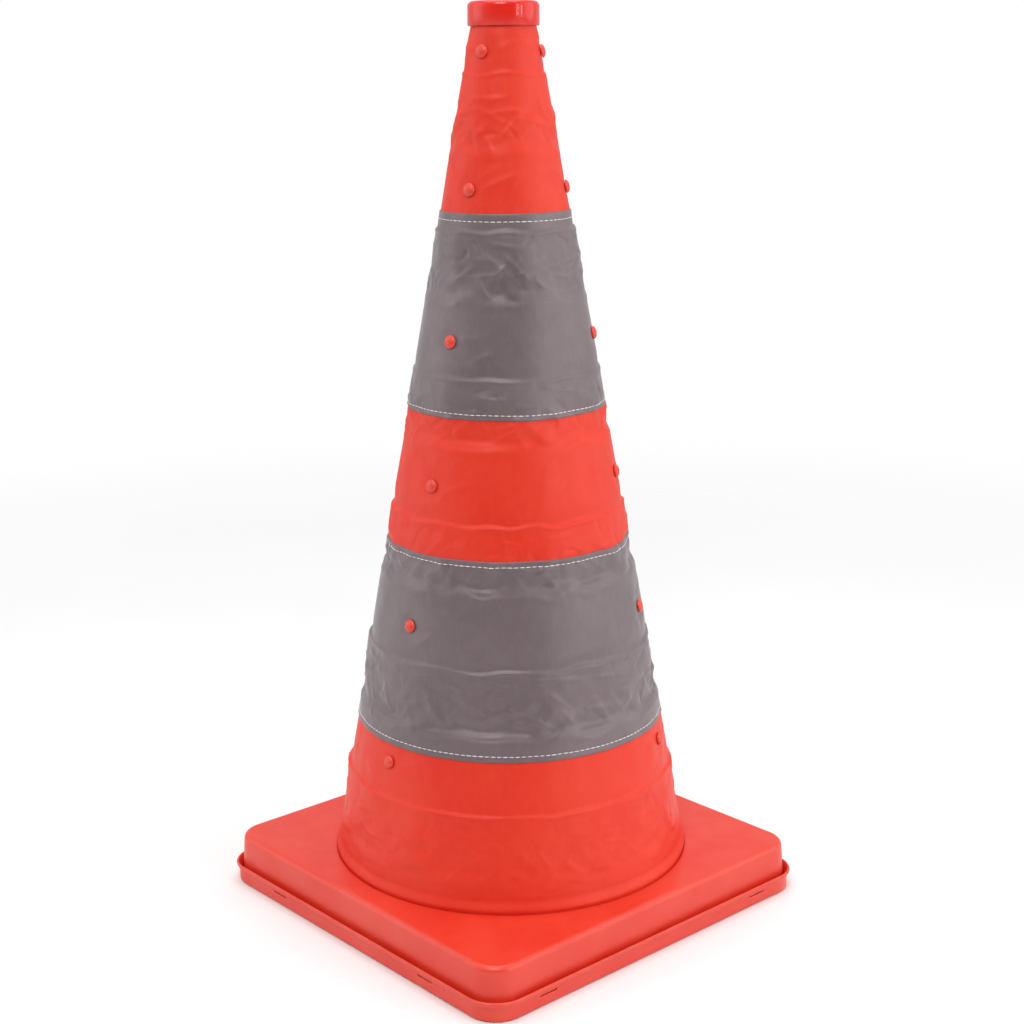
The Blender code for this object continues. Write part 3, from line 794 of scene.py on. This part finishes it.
def follow_fold(piece):
    """Bake a piece's place into its mesh."""
    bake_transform(piece)


# %% The six stretches of the sleeve
SPLIT_BELOW_TOP = 0.020
COLUMNS = {1: 320, 2: 440, 3: 520, 4: 600, 5: 640, 6: 680}
split = {ring: RING_TOP[ring] - SPLIT_BELOW_TOP for ring in range(2, 7)}
split[1], split[7] = SLEEVE_TOP, HEM

for ring in SLACK:
    piece = cloth_tube(
        f"sleeve_stretch_{ring}", split[ring + 1], split[ring], COLUMNS[ring], lambda z: 0.0 * z, ORANGE_FABRIC
    )
    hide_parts(f"sleeve_{ring}")
    if ring == 6:
        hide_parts("sleeve_7")
    follow_fold(piece)

# %% [markdown]
# ## Stitches
# Each band is sewn on with a row of stitches near both edges, and the sleeve is closed with a
# seam at the back. A stitch is a short length of thread that dips into the cloth at both ends.
# Hundreds of equal things along a line are work for Geometry Nodes: the line is resampled at the
# stitch pitch and one small ellipsoid is set on each point, turned along the line.

# %% A tree that sews along a line
STITCH_PITCH = 0.0046
STITCH_LENGTH = 0.0042
THREAD_WIDTH = 0.0007


def new_tree(name, inputs):
    """An empty Geometry Nodes tree with its named inputs, and its first and last nodes."""
    tree = bpy.data.node_groups.new(name, "GeometryNodeTree")
    tree.interface.new_socket(name="Geometry", in_out="INPUT", socket_type="NodeSocketGeometry")
    for label, kind in inputs:
        tree.interface.new_socket(name=label, in_out="INPUT", socket_type=kind)
    tree.interface.new_socket(name="Geometry", in_out="OUTPUT", socket_type="NodeSocketGeometry")
    return tree, tree.nodes.new("NodeGroupInput"), tree.nodes.new("NodeGroupOutput")


def wire(tree, *links):
    """Link pairs of (node, socket)."""
    for source, out, target, into in links:
        tree.links.new(source.outputs[out], target.inputs[into])


def grow(name, source_mesh, tree, values, finish):
    """Run a tree on a mesh and keep its result as a plain mesh piece."""
    carrier = bpy.data.objects.new(f"{name}_carrier", source_mesh)
    bpy.context.scene.collection.objects.link(carrier)
    modifier = carrier.modifiers.new("grow", "NODES")
    modifier.node_group = tree
    for socket in tree.interface.items_tree:
        if socket.in_out == "INPUT" and socket.name in values:
            modifier[socket.identifier] = values[socket.name]
    bpy.context.view_layer.update()
    result = bpy.data.meshes.new_from_object(carrier.evaluated_get(bpy.context.evaluated_depsgraph_get()))
    result.name = name
    bpy.data.objects.remove(carrier)
    return add_piece(name, result, finish)


sewing, sew_in, sew_out = new_tree(
    "sewing",
    [
        ("Pitch", "NodeSocketFloat"),
        ("Stitch Size", "NodeSocketVector"),
        ("Seed", "NodeSocketInt"),
        ("Thread", "NodeSocketMaterial"),
    ],
)
line = sewing.nodes.new("GeometryNodeMeshToCurve")
spaced = sewing.nodes.new("GeometryNodeResampleCurve")
spaced.mode = "LENGTH"
ball = sewing.nodes.new("GeometryNodeMeshUVSphere")
ball.inputs["Segments"].default_value = 8
ball.inputs["Rings"].default_value = 5
ball.inputs["Radius"].default_value = 0.5
shape = sewing.nodes.new("GeometryNodeTransform")
tangent = sewing.nodes.new("GeometryNodeInputTangent")
aligned = sewing.nodes.new("FunctionNodeAlignRotationToVector")
aligned.axis = "X"
uneven = sewing.nodes.new("FunctionNodeRandomValue")
uneven.inputs[2].default_value = 0.88
uneven.inputs[3].default_value = 1.08
placed = sewing.nodes.new("GeometryNodeInstanceOnPoints")
realized = sewing.nodes.new("GeometryNodeRealizeInstances")
smooth = sewing.nodes.new("GeometryNodeSetShadeSmooth")
painted = sewing.nodes.new("GeometryNodeSetMaterial")
wire(
    sewing,
    (sew_in, "Geometry", line, "Mesh"),
    (line, "Curve", spaced, "Curve"),
    (sew_in, "Pitch", spaced, "Length"),
    (ball, "Mesh", shape, "Geometry"),
    (sew_in, "Stitch Size", shape, "Scale"),
    (tangent, "Tangent", aligned, "Vector"),
    (sew_in, "Seed", uneven, "Seed"),
    (spaced, "Curve", placed, "Points"),
    (shape, "Geometry", placed, "Instance"),
    (aligned, "Rotation", placed, "Rotation"),
    (uneven, 1, placed, "Scale"),
    (placed, "Instances", realized, "Geometry"),
    (realized, "Geometry", smooth, "Geometry"),
    (smooth, "Geometry", painted, "Geometry"),
    (sew_in, "Thread", painted, "Material"),
    (painted, "Geometry", sew_out, "Geometry"),
)


def sew(name, azimuth, height, lift, closed, seed):
    """A row of stitches along a line of points on the cloth."""
    radius = cone_radius(height) + relief(azimuth, height) + lift
    points = np.stack([radius * np.cos(azimuth), radius * np.sin(azimuth), height], axis=-1)
    count = len(points)
    edges = [(step, (step + 1) % count) for step in range(count if closed else count - 1)]
    path = bpy.data.meshes.new(f"{name}_path")
    path.from_pydata([tuple(point) for point in points], edges, [])
    sizes = (STITCH_LENGTH, THREAD_WIDTH, THREAD_WIDTH)
    values = {"Pitch": STITCH_PITCH, "Stitch Size": sizes, "Seed": seed, "Thread": THREAD}
    piece = grow(name, path, sewing, values, THREAD)
    return piece


# %% [markdown]
# ## Reflective bands
# Each band is a strip of grey cloth over the sleeve, 0.8 mm further out, folded in at both edges
# and sewn 4 mm from them. The thread pulls the cloth in a little, which leaves a shallow groove
# under each row. A band is two pieces, split where the sleeve is.

# %% The bands and their stitches
BAND_LIFT = 0.0008
STITCH_INSET = {"upper_band": (0.0040, 0.0058), "lower_band": (0.0048, 0.0042)}  # bottom, top
BANDS = {
    "upper_band": (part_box("upper_band_b")[0].z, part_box("upper_band_a")[1].z),
    "lower_band": (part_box("lower_band_c")[0].z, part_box("lower_band_a")[1].z),
}
BAND_NODES = {
    ("upper_band", 2): ["upper_band_a"],
    ("upper_band", 3): ["upper_band_b"],
    ("lower_band", 4): ["lower_band_a"],
    ("lower_band", 5): ["lower_band_b", "lower_band_c"],
}


def band_lift(low, high, insets):
    """A band's stand-off from the cone: its edges turn in, and each stitch row pulls it in."""

    def lift(height):
        edge = np.minimum(height - low, high - height)
        turned_in = 1.0 - np.sqrt(np.clip(1.0 - (edge / 0.0005), 0.0, 1.0))
        rows = (height - low - insets[0], high - height - insets[1])
        groove = sum(np.exp(-((off / 0.0011) ** 2)) for off in rows)
        return BAND_LIFT * (turned_in * 1.12 - 0.12) - 0.00022 * groove

    return lift


for (band, ring), nodes in BAND_NODES.items():
    low, high = BANDS[band]
    bottom, top = max(low, split[ring + 1]), min(high, split[ring])
    tube = cloth_tube(
        f"{band}_stretch_{ring}", bottom, top, COLUMNS[ring], band_lift(low, high, STITCH_INSET[band]),
        REFLECTIVE_FABRIC, (low, high)
    )
    below, above = STITCH_INSET[band]
    row_height = high - above if top == high else low + below
    around = np.linspace(0.0, 2.0 * math.pi, 720, endpoint=False)
    row = sew(f"{band}_stitches_{ring}", around, np.full(720, row_height), BAND_LIFT, True, ring)
    follow_fold(row)
    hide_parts(*nodes)
    follow_fold(tube)

# %% The seam at the back
for ring in SLACK:
    low, high = max(split[ring + 1], 0.046), min(split[ring], 0.680)
    covered = [span for span in BANDS.values() if span[0] < high and span[1] > low]
    up_line = np.arange(low, high, 0.002)
    over = np.zeros_like(up_line)
    for bottom, top in covered:
        over = np.where((up_line > bottom) & (up_line < top), BAND_LIFT, over)
    edge = (SEAM_WIDTH / 2 - 0.0018) / cone_radius(up_line)
    piece = sew(f"seam_stitches_{ring}", SEAM_AZIMUTH + edge, up_line, over + 0.00005, False, 20 + ring)
    follow_fold(piece)

# %% [markdown]
# ## Rivets
# Three moulded rivets hold the cloth to each ring: a low round head outside, a shank through the
# cloth, and a flange inside. A turned profile makes one rivet, and a second tree sets a copy on
# every point, standing square to the cone. All three rivets of a ring are one piece.

# %% One rivet
RIVET_HEIGHT = 0.003


def lathe(profile, steps):
    """Loops of a turned shape: profile is (radius, height) points, top first."""
    return [circle(radius, height, steps) for radius, height in profile]


def rivet_mesh(seat, tail, steps=28):
    """A rivet along +Z, its head's underside at seat and the end of its flange at tail."""
    dome = [
        (RIVET_RADIUS * math.sin(turn), seat + 0.0004 + (RIVET_HEIGHT - 0.0004) * math.cos(turn))
        for turn in np.linspace(0.16, math.pi / 2, 9)
    ]
    dimple = [(0.0004, seat + RIVET_HEIGHT - 0.00035), (0.0007, seat + RIVET_HEIGHT - 0.00012)]
    under = [(RIVET_RADIUS * 0.97, seat), (0.0025, seat), (0.0025, tail + 0.0012), (0.0036, tail + 0.0012)]
    flange = [(0.0038, tail + 0.0010), (0.0038, tail + 0.0002), (0.0036, tail)]
    loops = lathe(dimple + dome + under + flange, steps)
    loops.reverse()
    return loft("rivet_shape", loops, cap_first=True, cap_last=True)


planting, plant_in, plant_out = new_tree(
    "planting", [("Shape", "NodeSocketObject"), ("Size", "NodeSocketFloat"), ("Finish", "NodeSocketMaterial")]
)
facing = planting.nodes.new("GeometryNodeInputNamedAttribute")
facing.data_type = "FLOAT_VECTOR"
facing.inputs["Name"].default_value = "outward"
upright = planting.nodes.new("FunctionNodeAlignRotationToVector")
upright.axis = "Z"
shape_info = planting.nodes.new("GeometryNodeObjectInfo")
planted = planting.nodes.new("GeometryNodeInstanceOnPoints")
made_real = planting.nodes.new("GeometryNodeRealizeInstances")
finished = planting.nodes.new("GeometryNodeSetMaterial")
wire(
    planting,
    (plant_in, "Geometry", planted, "Points"),
    (plant_in, "Shape", shape_info, "Object"),
    (shape_info, "Geometry", planted, "Instance"),
    (facing, "Attribute", upright, "Vector"),
    (upright, "Rotation", planted, "Rotation"),
    (plant_in, "Size", planted, "Scale"),
    (planted, "Instances", made_real, "Geometry"),
    (made_real, "Geometry", finished, "Geometry"),
    (plant_in, "Finish", finished, "Material"),
    (finished, "Geometry", plant_out, "Geometry"),
)


def plant(name, shape_mesh, places, directions, finish):
    """Copies of a shape on points, each turned to its direction."""
    shape_object = bpy.data.objects.new(f"{name}_shape", shape_mesh)
    bpy.context.scene.collection.objects.link(shape_object)
    points = bpy.data.meshes.new(f"{name}_points")
    points.from_pydata([tuple(place) for place in places], [], [])
    outward = points.attributes.new("outward", "FLOAT_VECTOR", "POINT")
    outward.data.foreach_set("vector", np.array(directions, np.float32).ravel())
    piece = grow(name, points, planting, {"Shape": shape_object, "Size": 1.0, "Finish": finish}, finish)
    bpy.data.objects.remove(shape_object)
    return soften(piece)


# %% Rivets on every ring
for ring in RINGS:
    level_height = sum(rivet[1] for rivet in RIVETS[ring]) / RIVETS_PER_RING
    banded = any(low < level_height < high for low, high in BANDS.values())
    seat = 0.0011 if banded else 0.0003
    places, directions = [], []
    for azimuth, _ in RIVETS[ring]:
        out = Vector((math.cos(azimuth), math.sin(azimuth), 0.0))
        places.append(out * cone_radius(level_height) + Vector((0, 0, level_height)))
        directions.append(out * math.cos(HALF_ANGLE) + Vector((0, 0, math.sin(HALF_ANGLE))))
    piece = plant(f"rivets_{ring}", rivet_mesh(seat, -0.0050), places, directions, ORANGE_PLASTIC)
    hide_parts(*[f"rivet_{ring}_{letter}" for letter in "abc"])
    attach(piece, stage_body(ring))
    print(f"rivets of ring {ring} at {level_height:.4f} m")

# %% [markdown]
# ## Rings
# Inside the sleeve each ring is a plain moulded wall, 2 mm thick, with rounded edges. It can be
# seen only from below or with the sleeve cut, so a turned profile is enough.

# %% Ring walls
RING_UNDER = 0.0008
RING_WALL = 0.002

for ring in RINGS:
    top, bottom = RING_TOP[ring], RING_BOTTOM[ring]
    edge = 0.0005
    profile = [
        (cone_radius(top) - RING_UNDER - edge, top),
        (cone_radius(top - edge) - RING_UNDER, top - edge),
        (cone_radius(bottom + edge) - RING_UNDER, bottom + edge),
        (cone_radius(bottom) - RING_UNDER - edge, bottom),
        (cone_radius(bottom) - RING_UNDER - RING_WALL + edge, bottom),
        (cone_radius(bottom + edge) - RING_UNDER - RING_WALL, bottom + edge),
        (cone_radius(top - edge) - RING_UNDER - RING_WALL, top - edge),
        (cone_radius(top) - RING_UNDER - RING_WALL + edge, top),
    ]
    loops = lathe(profile[::-1], 144)
    piece = add_piece(f"ring_wall_{ring}", loft(f"ring_wall_{ring}", loops, closed=True), RING_PLASTIC)
    soften(piece, 60.0)
    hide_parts(f"ring_{ring}")
    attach(piece, stage_body(ring))

# %% [markdown]
# ## Cap
# The cap is a plate with a rounded rim, a skirt over the sleeve's top edge and a spigot inside the
# first ring. It was moulded through a gate in the middle of its top, which leaves a small disc.

# %% Cap
CAP_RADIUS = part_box("cap")[1].x
CAP_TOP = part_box("cap")[1].z
CAP_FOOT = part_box("cap")[0].z
CAP_EDGE = 0.0038
SKIRT = 0.0175
SKIRT_WALL = 0.002
CAP_PLATE = 0.002
CAP_DISH = 0.0003
SPIGOT_RADIUS, SPIGOT_WALL = 0.0179, 0.0018

rim = [
    (CAP_RADIUS - CAP_EDGE + CAP_EDGE * math.sin(turn), CAP_TOP - CAP_EDGE + CAP_EDGE * math.cos(turn))
    for turn in np.linspace(0.0, math.pi / 2, 9)
]
under = CAP_TOP - CAP_PLATE
skirt_end = CAP_TOP - SKIRT
profile = [(0.0008, CAP_TOP - 0.0001), (0.0022, CAP_TOP - 0.0001), (0.0026, CAP_TOP - CAP_DISH)]
profile += [(CAP_RADIUS - CAP_EDGE - 0.003, CAP_TOP - CAP_DISH), (CAP_RADIUS - CAP_EDGE - 0.001, CAP_TOP - 0.0001)]
profile += rim + [
    (CAP_RADIUS, skirt_end + 0.0005),
    (CAP_RADIUS - 0.0004, skirt_end),
    (CAP_RADIUS - SKIRT_WALL + 0.0006, skirt_end),
    (CAP_RADIUS - SKIRT_WALL + 0.0002, skirt_end + 0.0004),
    (CAP_RADIUS - SKIRT_WALL, under - 0.002),
    (CAP_RADIUS - SKIRT_WALL - 0.001, under),
    (SPIGOT_RADIUS + 0.0003, under),
    (SPIGOT_RADIUS, under - 0.0004),
    (SPIGOT_RADIUS, CAP_FOOT + 0.0008) if CAP_FOOT > skirt_end else (SPIGOT_RADIUS, under - 0.0082),
    (SPIGOT_RADIUS - 0.0006, under - 0.009),
    (SPIGOT_RADIUS - SPIGOT_WALL, under - 0.009),
    (SPIGOT_RADIUS - SPIGOT_WALL, under - 0.0004),
    (SPIGOT_RADIUS - SPIGOT_WALL - 0.0004, under),
    (0.002, under),
]
loops = lathe(profile[::-1], 160)
cap = add_piece("cap_moulding", loft("cap_moulding", loops, cap_first=True, cap_last=True), CAP_PLASTIC)
soften(cap)
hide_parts("cap")
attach(cap, "stage_1")
print(f"cap {2000 * CAP_RADIUS:.0f} mm across")

# %% [markdown]
# ## Base
# The base is a cover and a tray, both square with round corners. A square with round corners is a
# loop of points, and so is the round opening, and a loft between loops with the same number of
# points joins one to the other. A moulding has a wall, so the loops go up the outside, over the
# edge, down through the opening and back along the inside, and close on themselves.

# %% Loops for the base
CORNER_STEPS = 18
SIDE_STEPS = 44


def square_loop(half, corner, height):
    """A square with round corners, as a loop of points that starts in the middle of the +X side."""
    straight = half - corner
    points = []
    for quarter in range(4):
        turn = quarter * math.pi / 2
        along = np.linspace(0.0, straight, SIDE_STEPS // 2 + 1)[:-1]
        arc = np.linspace(0.0, math.pi / 2, CORNER_STEPS + 1)
        local = [(half, y) for y in along]
        local += [(straight + corner * math.cos(a), straight + corner * math.sin(a)) for a in arc]
        local += [(y, half) for y in along[::-1][:-1]]
        for x, y in local:
            points.append((x * math.cos(turn) - y * math.sin(turn), x * math.sin(turn) + y * math.cos(turn), height))
    return np.array(points)


def round_loop(radius, height):
    """A circle whose points lie in the directions of the square's points."""
    directions = square_loop(0.16, 0.02, 0.0)
    angle = np.arctan2(directions[:, 1], directions[:, 0])
    return np.stack([radius * np.cos(angle), radius * np.sin(angle), np.full(len(angle), height)], axis=1)


def fillet(half, corner, top, size, steps=6):
    """Loops over a rounded top edge, from the side onto the top face."""
    loops = []
    for turn in np.linspace(0.0, math.pi / 2, steps + 1):
        shrink = size * (1.0 - math.cos(turn))
        loops.append(square_loop(half - shrink, corner - shrink, top - size + size * math.sin(turn)))
    return loops


# %% [markdown]
# ### Cover
# The cover's sides lean in a little so that it comes out of its mould. Its opening has a small
# rounded edge, and two snap tabs on each side reach into the tray's slots.

# %% The cover
WALL = 0.0022
SHELL_LOW, SHELL_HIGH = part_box("base_shell")[0].z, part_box("base_shell")[1].z
SHELL_FOOT_HALF, SHELL_TOP_HALF = 0.1648, 0.1630
SHELL_CORNER, SHELL_EDGE = 0.0225, 0.0045
OPENING_RADIUS = 0.1421
OPENING_EDGE = 0.0010
SLOT_HEIGHT = 0.0098
SLOT_SIZE = (0.0165, 0.0019)
SLOT_OFFSET_Y_SIDES, SLOT_OFFSET_X_SIDES = 0.092, 0.114


def shell_half(height):
    """Half width of the cover's side at a height."""
    share = (height - SHELL_LOW) / (SHELL_HIGH - SHELL_LOW)
    return SHELL_FOOT_HALF + (SHELL_TOP_HALF - SHELL_FOOT_HALF) * share


side_end = SHELL_HIGH - SHELL_EDGE
loops = [square_loop(shell_half(z), SHELL_CORNER, z) for z in np.linspace(SHELL_LOW, side_end - 0.002, 5)]
loops += fillet(shell_half(side_end), SHELL_CORNER, SHELL_HIGH, SHELL_EDGE, 8)
outer_flat = loops[-1]
opening_flat = round_loop(OPENING_RADIUS + OPENING_EDGE, SHELL_HIGH)
loops += [outer_flat * (1 - share) + opening_flat * share for share in (0.06, 0.35, 0.65, 0.94)]
for turn in np.linspace(0.0, math.pi / 2, 5):
    radius = OPENING_RADIUS + OPENING_EDGE * (1.0 - math.sin(turn))
    loops.append(round_loop(radius, SHELL_HIGH - OPENING_EDGE * (1.0 - math.cos(turn))))
loops += [round_loop(OPENING_RADIUS, SHELL_HIGH - WALL + 0.0003), round_loop(OPENING_RADIUS + 0.0003, SHELL_HIGH - WALL)]
inner = fillet(shell_half(side_end) - WALL, SHELL_CORNER - WALL, SHELL_HIGH - WALL, SHELL_EDGE - WALL, 4)
loops += inner[::-1]
loops += [square_loop(shell_half(z) - WALL, SHELL_CORNER - WALL, z) for z in (side_end - 0.004, 0.018, SHELL_LOW)]
cover = add_piece("base_cover", loft("base_cover", loops, closed=True), ORANGE_PLASTIC)


def slot_places():
    """Middle of each snap slot on the tray's rim, and whether it runs along x."""
    places = []
    for side in (-1.0, 1.0):
        for end in (-1.0, 1.0):
            places.append((end * SLOT_OFFSET_Y_SIDES, side, True))
            places.append((side, end * SLOT_OFFSET_X_SIDES, False))
    return places


def blocks(name, reach_from, reach_to, length, width):
    """A block at each slot, between two distances from the middle of the base, with rounded ends."""
    bm = bmesh.new()
    for x, y, along_x in slot_places():
        middle, depth = (reach_from + reach_to) / 2, reach_to - reach_from
        centre = (x, y * middle, SLOT_HEIGHT) if along_x else (x * middle, y, SLOT_HEIGHT)
        size = (length, depth, width) if along_x else (depth, length, width)
        made = bmesh.ops.create_cube(bm, size=1.0)["verts"]
        bmesh.ops.scale(bm, vec=size, verts=made)
        bmesh.ops.translate(bm, vec=centre, verts=made)
    edges = [e for e in bm.edges if abs(e.verts[0].co.z - e.verts[1].co.z) < 1e-7]
    bmesh.ops.bevel(bm, geom=edges, offset=width * 0.28, segments=2, profile=0.5, affect="EDGES")
    mesh = bpy.data.meshes.new(name)
    bm.to_mesh(mesh)
    bm.free()
    return mesh


def combine(piece, cutter_mesh, operation):
    """A Boolean with a mesh, applied."""
    cutter = bpy.data.objects.new("cutter", cutter_mesh)
    bpy.context.scene.collection.objects.link(cutter)
    modifier = piece.modifiers.new("combine", "BOOLEAN")
    modifier.operation, modifier.solver, modifier.object = operation, "EXACT", cutter
    bpy.context.view_layer.update()
    mesh = bpy.data.meshes.new_from_object(piece.evaluated_get(bpy.context.evaluated_depsgraph_get()))
    piece.modifiers.clear()
    piece.data = mesh
    bpy.data.objects.remove(cutter)


combine(cover, blocks("tabs", shell_half(SLOT_HEIGHT) - WALL / 2, 0.1667, 0.0158, 0.0012), "UNION")
soften(cover, 35.0)
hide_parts("base_shell")
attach(cover, "base")
print("cover:", len(cover.data.polygons), "faces")

# %% [markdown]
# ### Tray
# The tray closes the base from below. Its rim stands 3 mm clear of the cover and flares out to a
# rounded lip, which leaves a dark groove all round. Eight slots in the rim show the cover's tabs.
# Inside, a low rib seats the lowest ring and another the spring.

# %% The tray
TRAY_LOW = 0.0008
TRAY_FLOOR = TRAY_LOW + 0.0024
TRAY_HALF, TRAY_LIP_HALF, TRAY_CORNER = 0.1673, 0.1696, 0.0245
TRAY_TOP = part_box("base_tray")[1].z
FLARE_FROM = 0.0108
SPRING_BOTTOM_RADIUS = 0.085
SPRING_WIRE = 0.0013
FOOT_RADIUS, FOOT_HEIGHT, FOOT_OFFSET = 0.012, 0.0020, 0.130
FOOT_PLACES = [(x * FOOT_OFFSET, y * FOOT_OFFSET, 0.0) for x in (-1, 1) for y in (-1, 1)]
POCKET_PLAY = 0.0001


def pockets():
    """A disc at each foot, a little larger than the foot, to cut its pocket with."""
    bm = bmesh.new()
    for place in FOOT_PLACES:
        bmesh.ops.create_cone(
            bm,
            cap_ends=True,
            segments=48,
            radius1=FOOT_RADIUS + POCKET_PLAY,
            radius2=FOOT_RADIUS + POCKET_PLAY,
            depth=2.0 * (FOOT_HEIGHT + POCKET_PLAY),
            matrix=Matrix.Translation(place),
        )
    mesh = bpy.data.meshes.new("foot_pockets")
    bm.to_mesh(mesh)
    bm.free()
    return mesh


def tray_square(out, height):
    """A loop of the tray at a distance outside its rim's straight part."""
    return square_loop(TRAY_HALF + out, TRAY_CORNER + out, height)


FLARE = TRAY_LIP_HALF - TRAY_HALF
outside = [(-0.0010, TRAY_LOW), (-0.0003, TRAY_LOW + 0.0003), (0.0, TRAY_LOW + 0.0010), (0.0, 0.006)]
outside += [(0.0, FLARE_FROM - 0.0012), (FLARE * 0.10, FLARE_FROM), (FLARE * 0.38, FLARE_FROM + 0.0011)]
outside += [(FLARE * 0.72, FLARE_FROM + 0.0022), (FLARE * 0.94, FLARE_FROM + 0.0034)]
lip = [(FLARE, TRAY_TOP - 0.0012), (FLARE - 0.0003, TRAY_TOP - 0.0004), (FLARE - 0.0010, TRAY_TOP)]
inside = [(FLARE - 0.0017, TRAY_TOP - 0.0003), (FLARE - 0.0021, TRAY_TOP - 0.0011)]
inside += [(-WALL + FLARE * 0.6, FLARE_FROM + 0.0024), (-WALL, FLARE_FROM - 0.001), (-WALL, TRAY_FLOOR + 0.0002)]
inside += [(-WALL - 0.0002, TRAY_FLOOR)]

ring_seat = cone_radius(RING_BOTTOM[7]) - RING_UNDER - RING_WALL / 2
spring_seat = SPRING_BOTTOM_RADIUS + SPRING_WIRE + 0.0010 + 0.0006
ribs = []
for radius, top in ((ring_seat, RING_BOTTOM[7] - 0.0003), (spring_seat, TRAY_FLOOR + 0.003)):
    ribs += [(radius + 0.0013, TRAY_FLOOR), (radius + 0.0010, TRAY_FLOOR + 0.0003), (radius + 0.0010, top - 0.0002)]
    ribs += [(radius + 0.0008, top), (radius - 0.0008, top)]
    ribs += [(radius - 0.0010, top - 0.0002), (radius - 0.0010, TRAY_FLOOR + 0.0003), (radius - 0.0013, TRAY_FLOOR)]
loops = [round_loop(radius, TRAY_LOW) for radius in (0.004, 0.05, 0.11, 0.145)]
loops += [tray_square(out, z) for out, z in outside + lip + inside]
loops += [round_loop(radius, z) for radius, z in ribs] + [round_loop(0.004, TRAY_FLOOR)]
tray = add_piece("base_tray_moulding", loft("base_tray_moulding", loops, cap_first=True, cap_last=True), ORANGE_PLASTIC)
combine(tray, blocks("slots", TRAY_HALF - 0.004, TRAY_HALF + 0.004, *SLOT_SIZE), "DIFFERENCE")
combine(tray, pockets(), "DIFFERENCE")
soften(tray, 35.0)
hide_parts("base_tray")
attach(tray, "base")
print("tray:", len(tray.data.polygons), "faces; the cover stands", round((SHELL_LOW - TRAY_FLOOR) / MM, 2), "mm over its floor")

# %% [markdown]
# ### Feet
# Four rubber discs stand in shallow pockets under the tray. Each has a rounded edge and two
# grooves that grip the ground.

# %% Feet
foot_profile = [(0.004, 0.0), (0.0046, 0.0003), (0.0052, 0.0), (0.008, 0.0), (0.0086, 0.0003), (0.0092, 0.0)]
foot_profile += [(0.0114, 0.0), (0.0119, 0.0002), (FOOT_RADIUS, 0.0006), (FOOT_RADIUS, FOOT_HEIGHT), (0.004, FOOT_HEIGHT)]
foot_shape = loft("foot_shape", lathe(foot_profile, 48), cap_first=True, cap_last=True)
feet = plant("feet", foot_shape, FOOT_PLACES, [(0.0, 0.0, 1.0)] * 4, RUBBER)
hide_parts("foot_1", "foot_2", "foot_3", "foot_4")
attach(feet, "base")

# %% [markdown]
# ## Spring
# A conical steel spring stands on the tray and pushes the cap up. Its first and last turns lie
# flat. A curve with a round bevel would do, but the spring has to flatten when the cone is pushed
# down, and only a mesh can, so the wire is swept here as loops of points.

# %% Spring
SPRING_TURNS = 10
SPRING_TOP_RADIUS = 0.0134
SPRING_SHRINK = 0.0032
POINTS_PER_TURN = 36
start = TRAY_FLOOR + SPRING_WIRE + 0.0003
end = CAP_TOP - CAP_PLATE - SPRING_WIRE - 0.0003

turns = np.arange(SPRING_TURNS * POINTS_PER_TURN + 1) / POINTS_PER_TURN
rise = np.clip((turns - 1.0) / (SPRING_TURNS - 2.0), 0.0, 1.0)
flat = np.minimum(turns, 1.0) + np.maximum(turns - SPRING_TURNS + 1.0, 0.0)
coil = SPRING_BOTTOM_RADIUS - SPRING_SHRINK * flat
coil = coil - (SPRING_BOTTOM_RADIUS - SPRING_SHRINK - SPRING_TOP_RADIUS) * rise
angle = 2.0 * math.pi * turns
centre = np.stack([coil * np.cos(angle), coil * np.sin(angle), start + (end - start) * rise], axis=1)
along = np.gradient(centre, axis=0)
along /= np.linalg.norm(along, axis=1)[:, None]
outward = np.stack([np.cos(angle), np.sin(angle), np.zeros_like(angle)], axis=1)
outward -= along * (outward * along).sum(axis=1)[:, None]
outward /= np.linalg.norm(outward, axis=1)[:, None]
sideways = np.cross(along, outward)
loops = []
for place, out, side in zip(centre, outward, sideways):
    section = np.linspace(0.0, 2.0 * math.pi, 10, endpoint=False)
    loops.append(place + SPRING_WIRE * (np.cos(section)[:, None] * out + np.sin(section)[:, None] * side))
spring = add_piece("spring_coil", loft("spring_coil", loops, cap_first=True, cap_last=True), STEEL)
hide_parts("spring")
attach(spring, "base")
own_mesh(spring)
print(f"spring wire {np.linalg.norm(np.diff(centre, axis=0), axis=1).sum():.2f} m long")
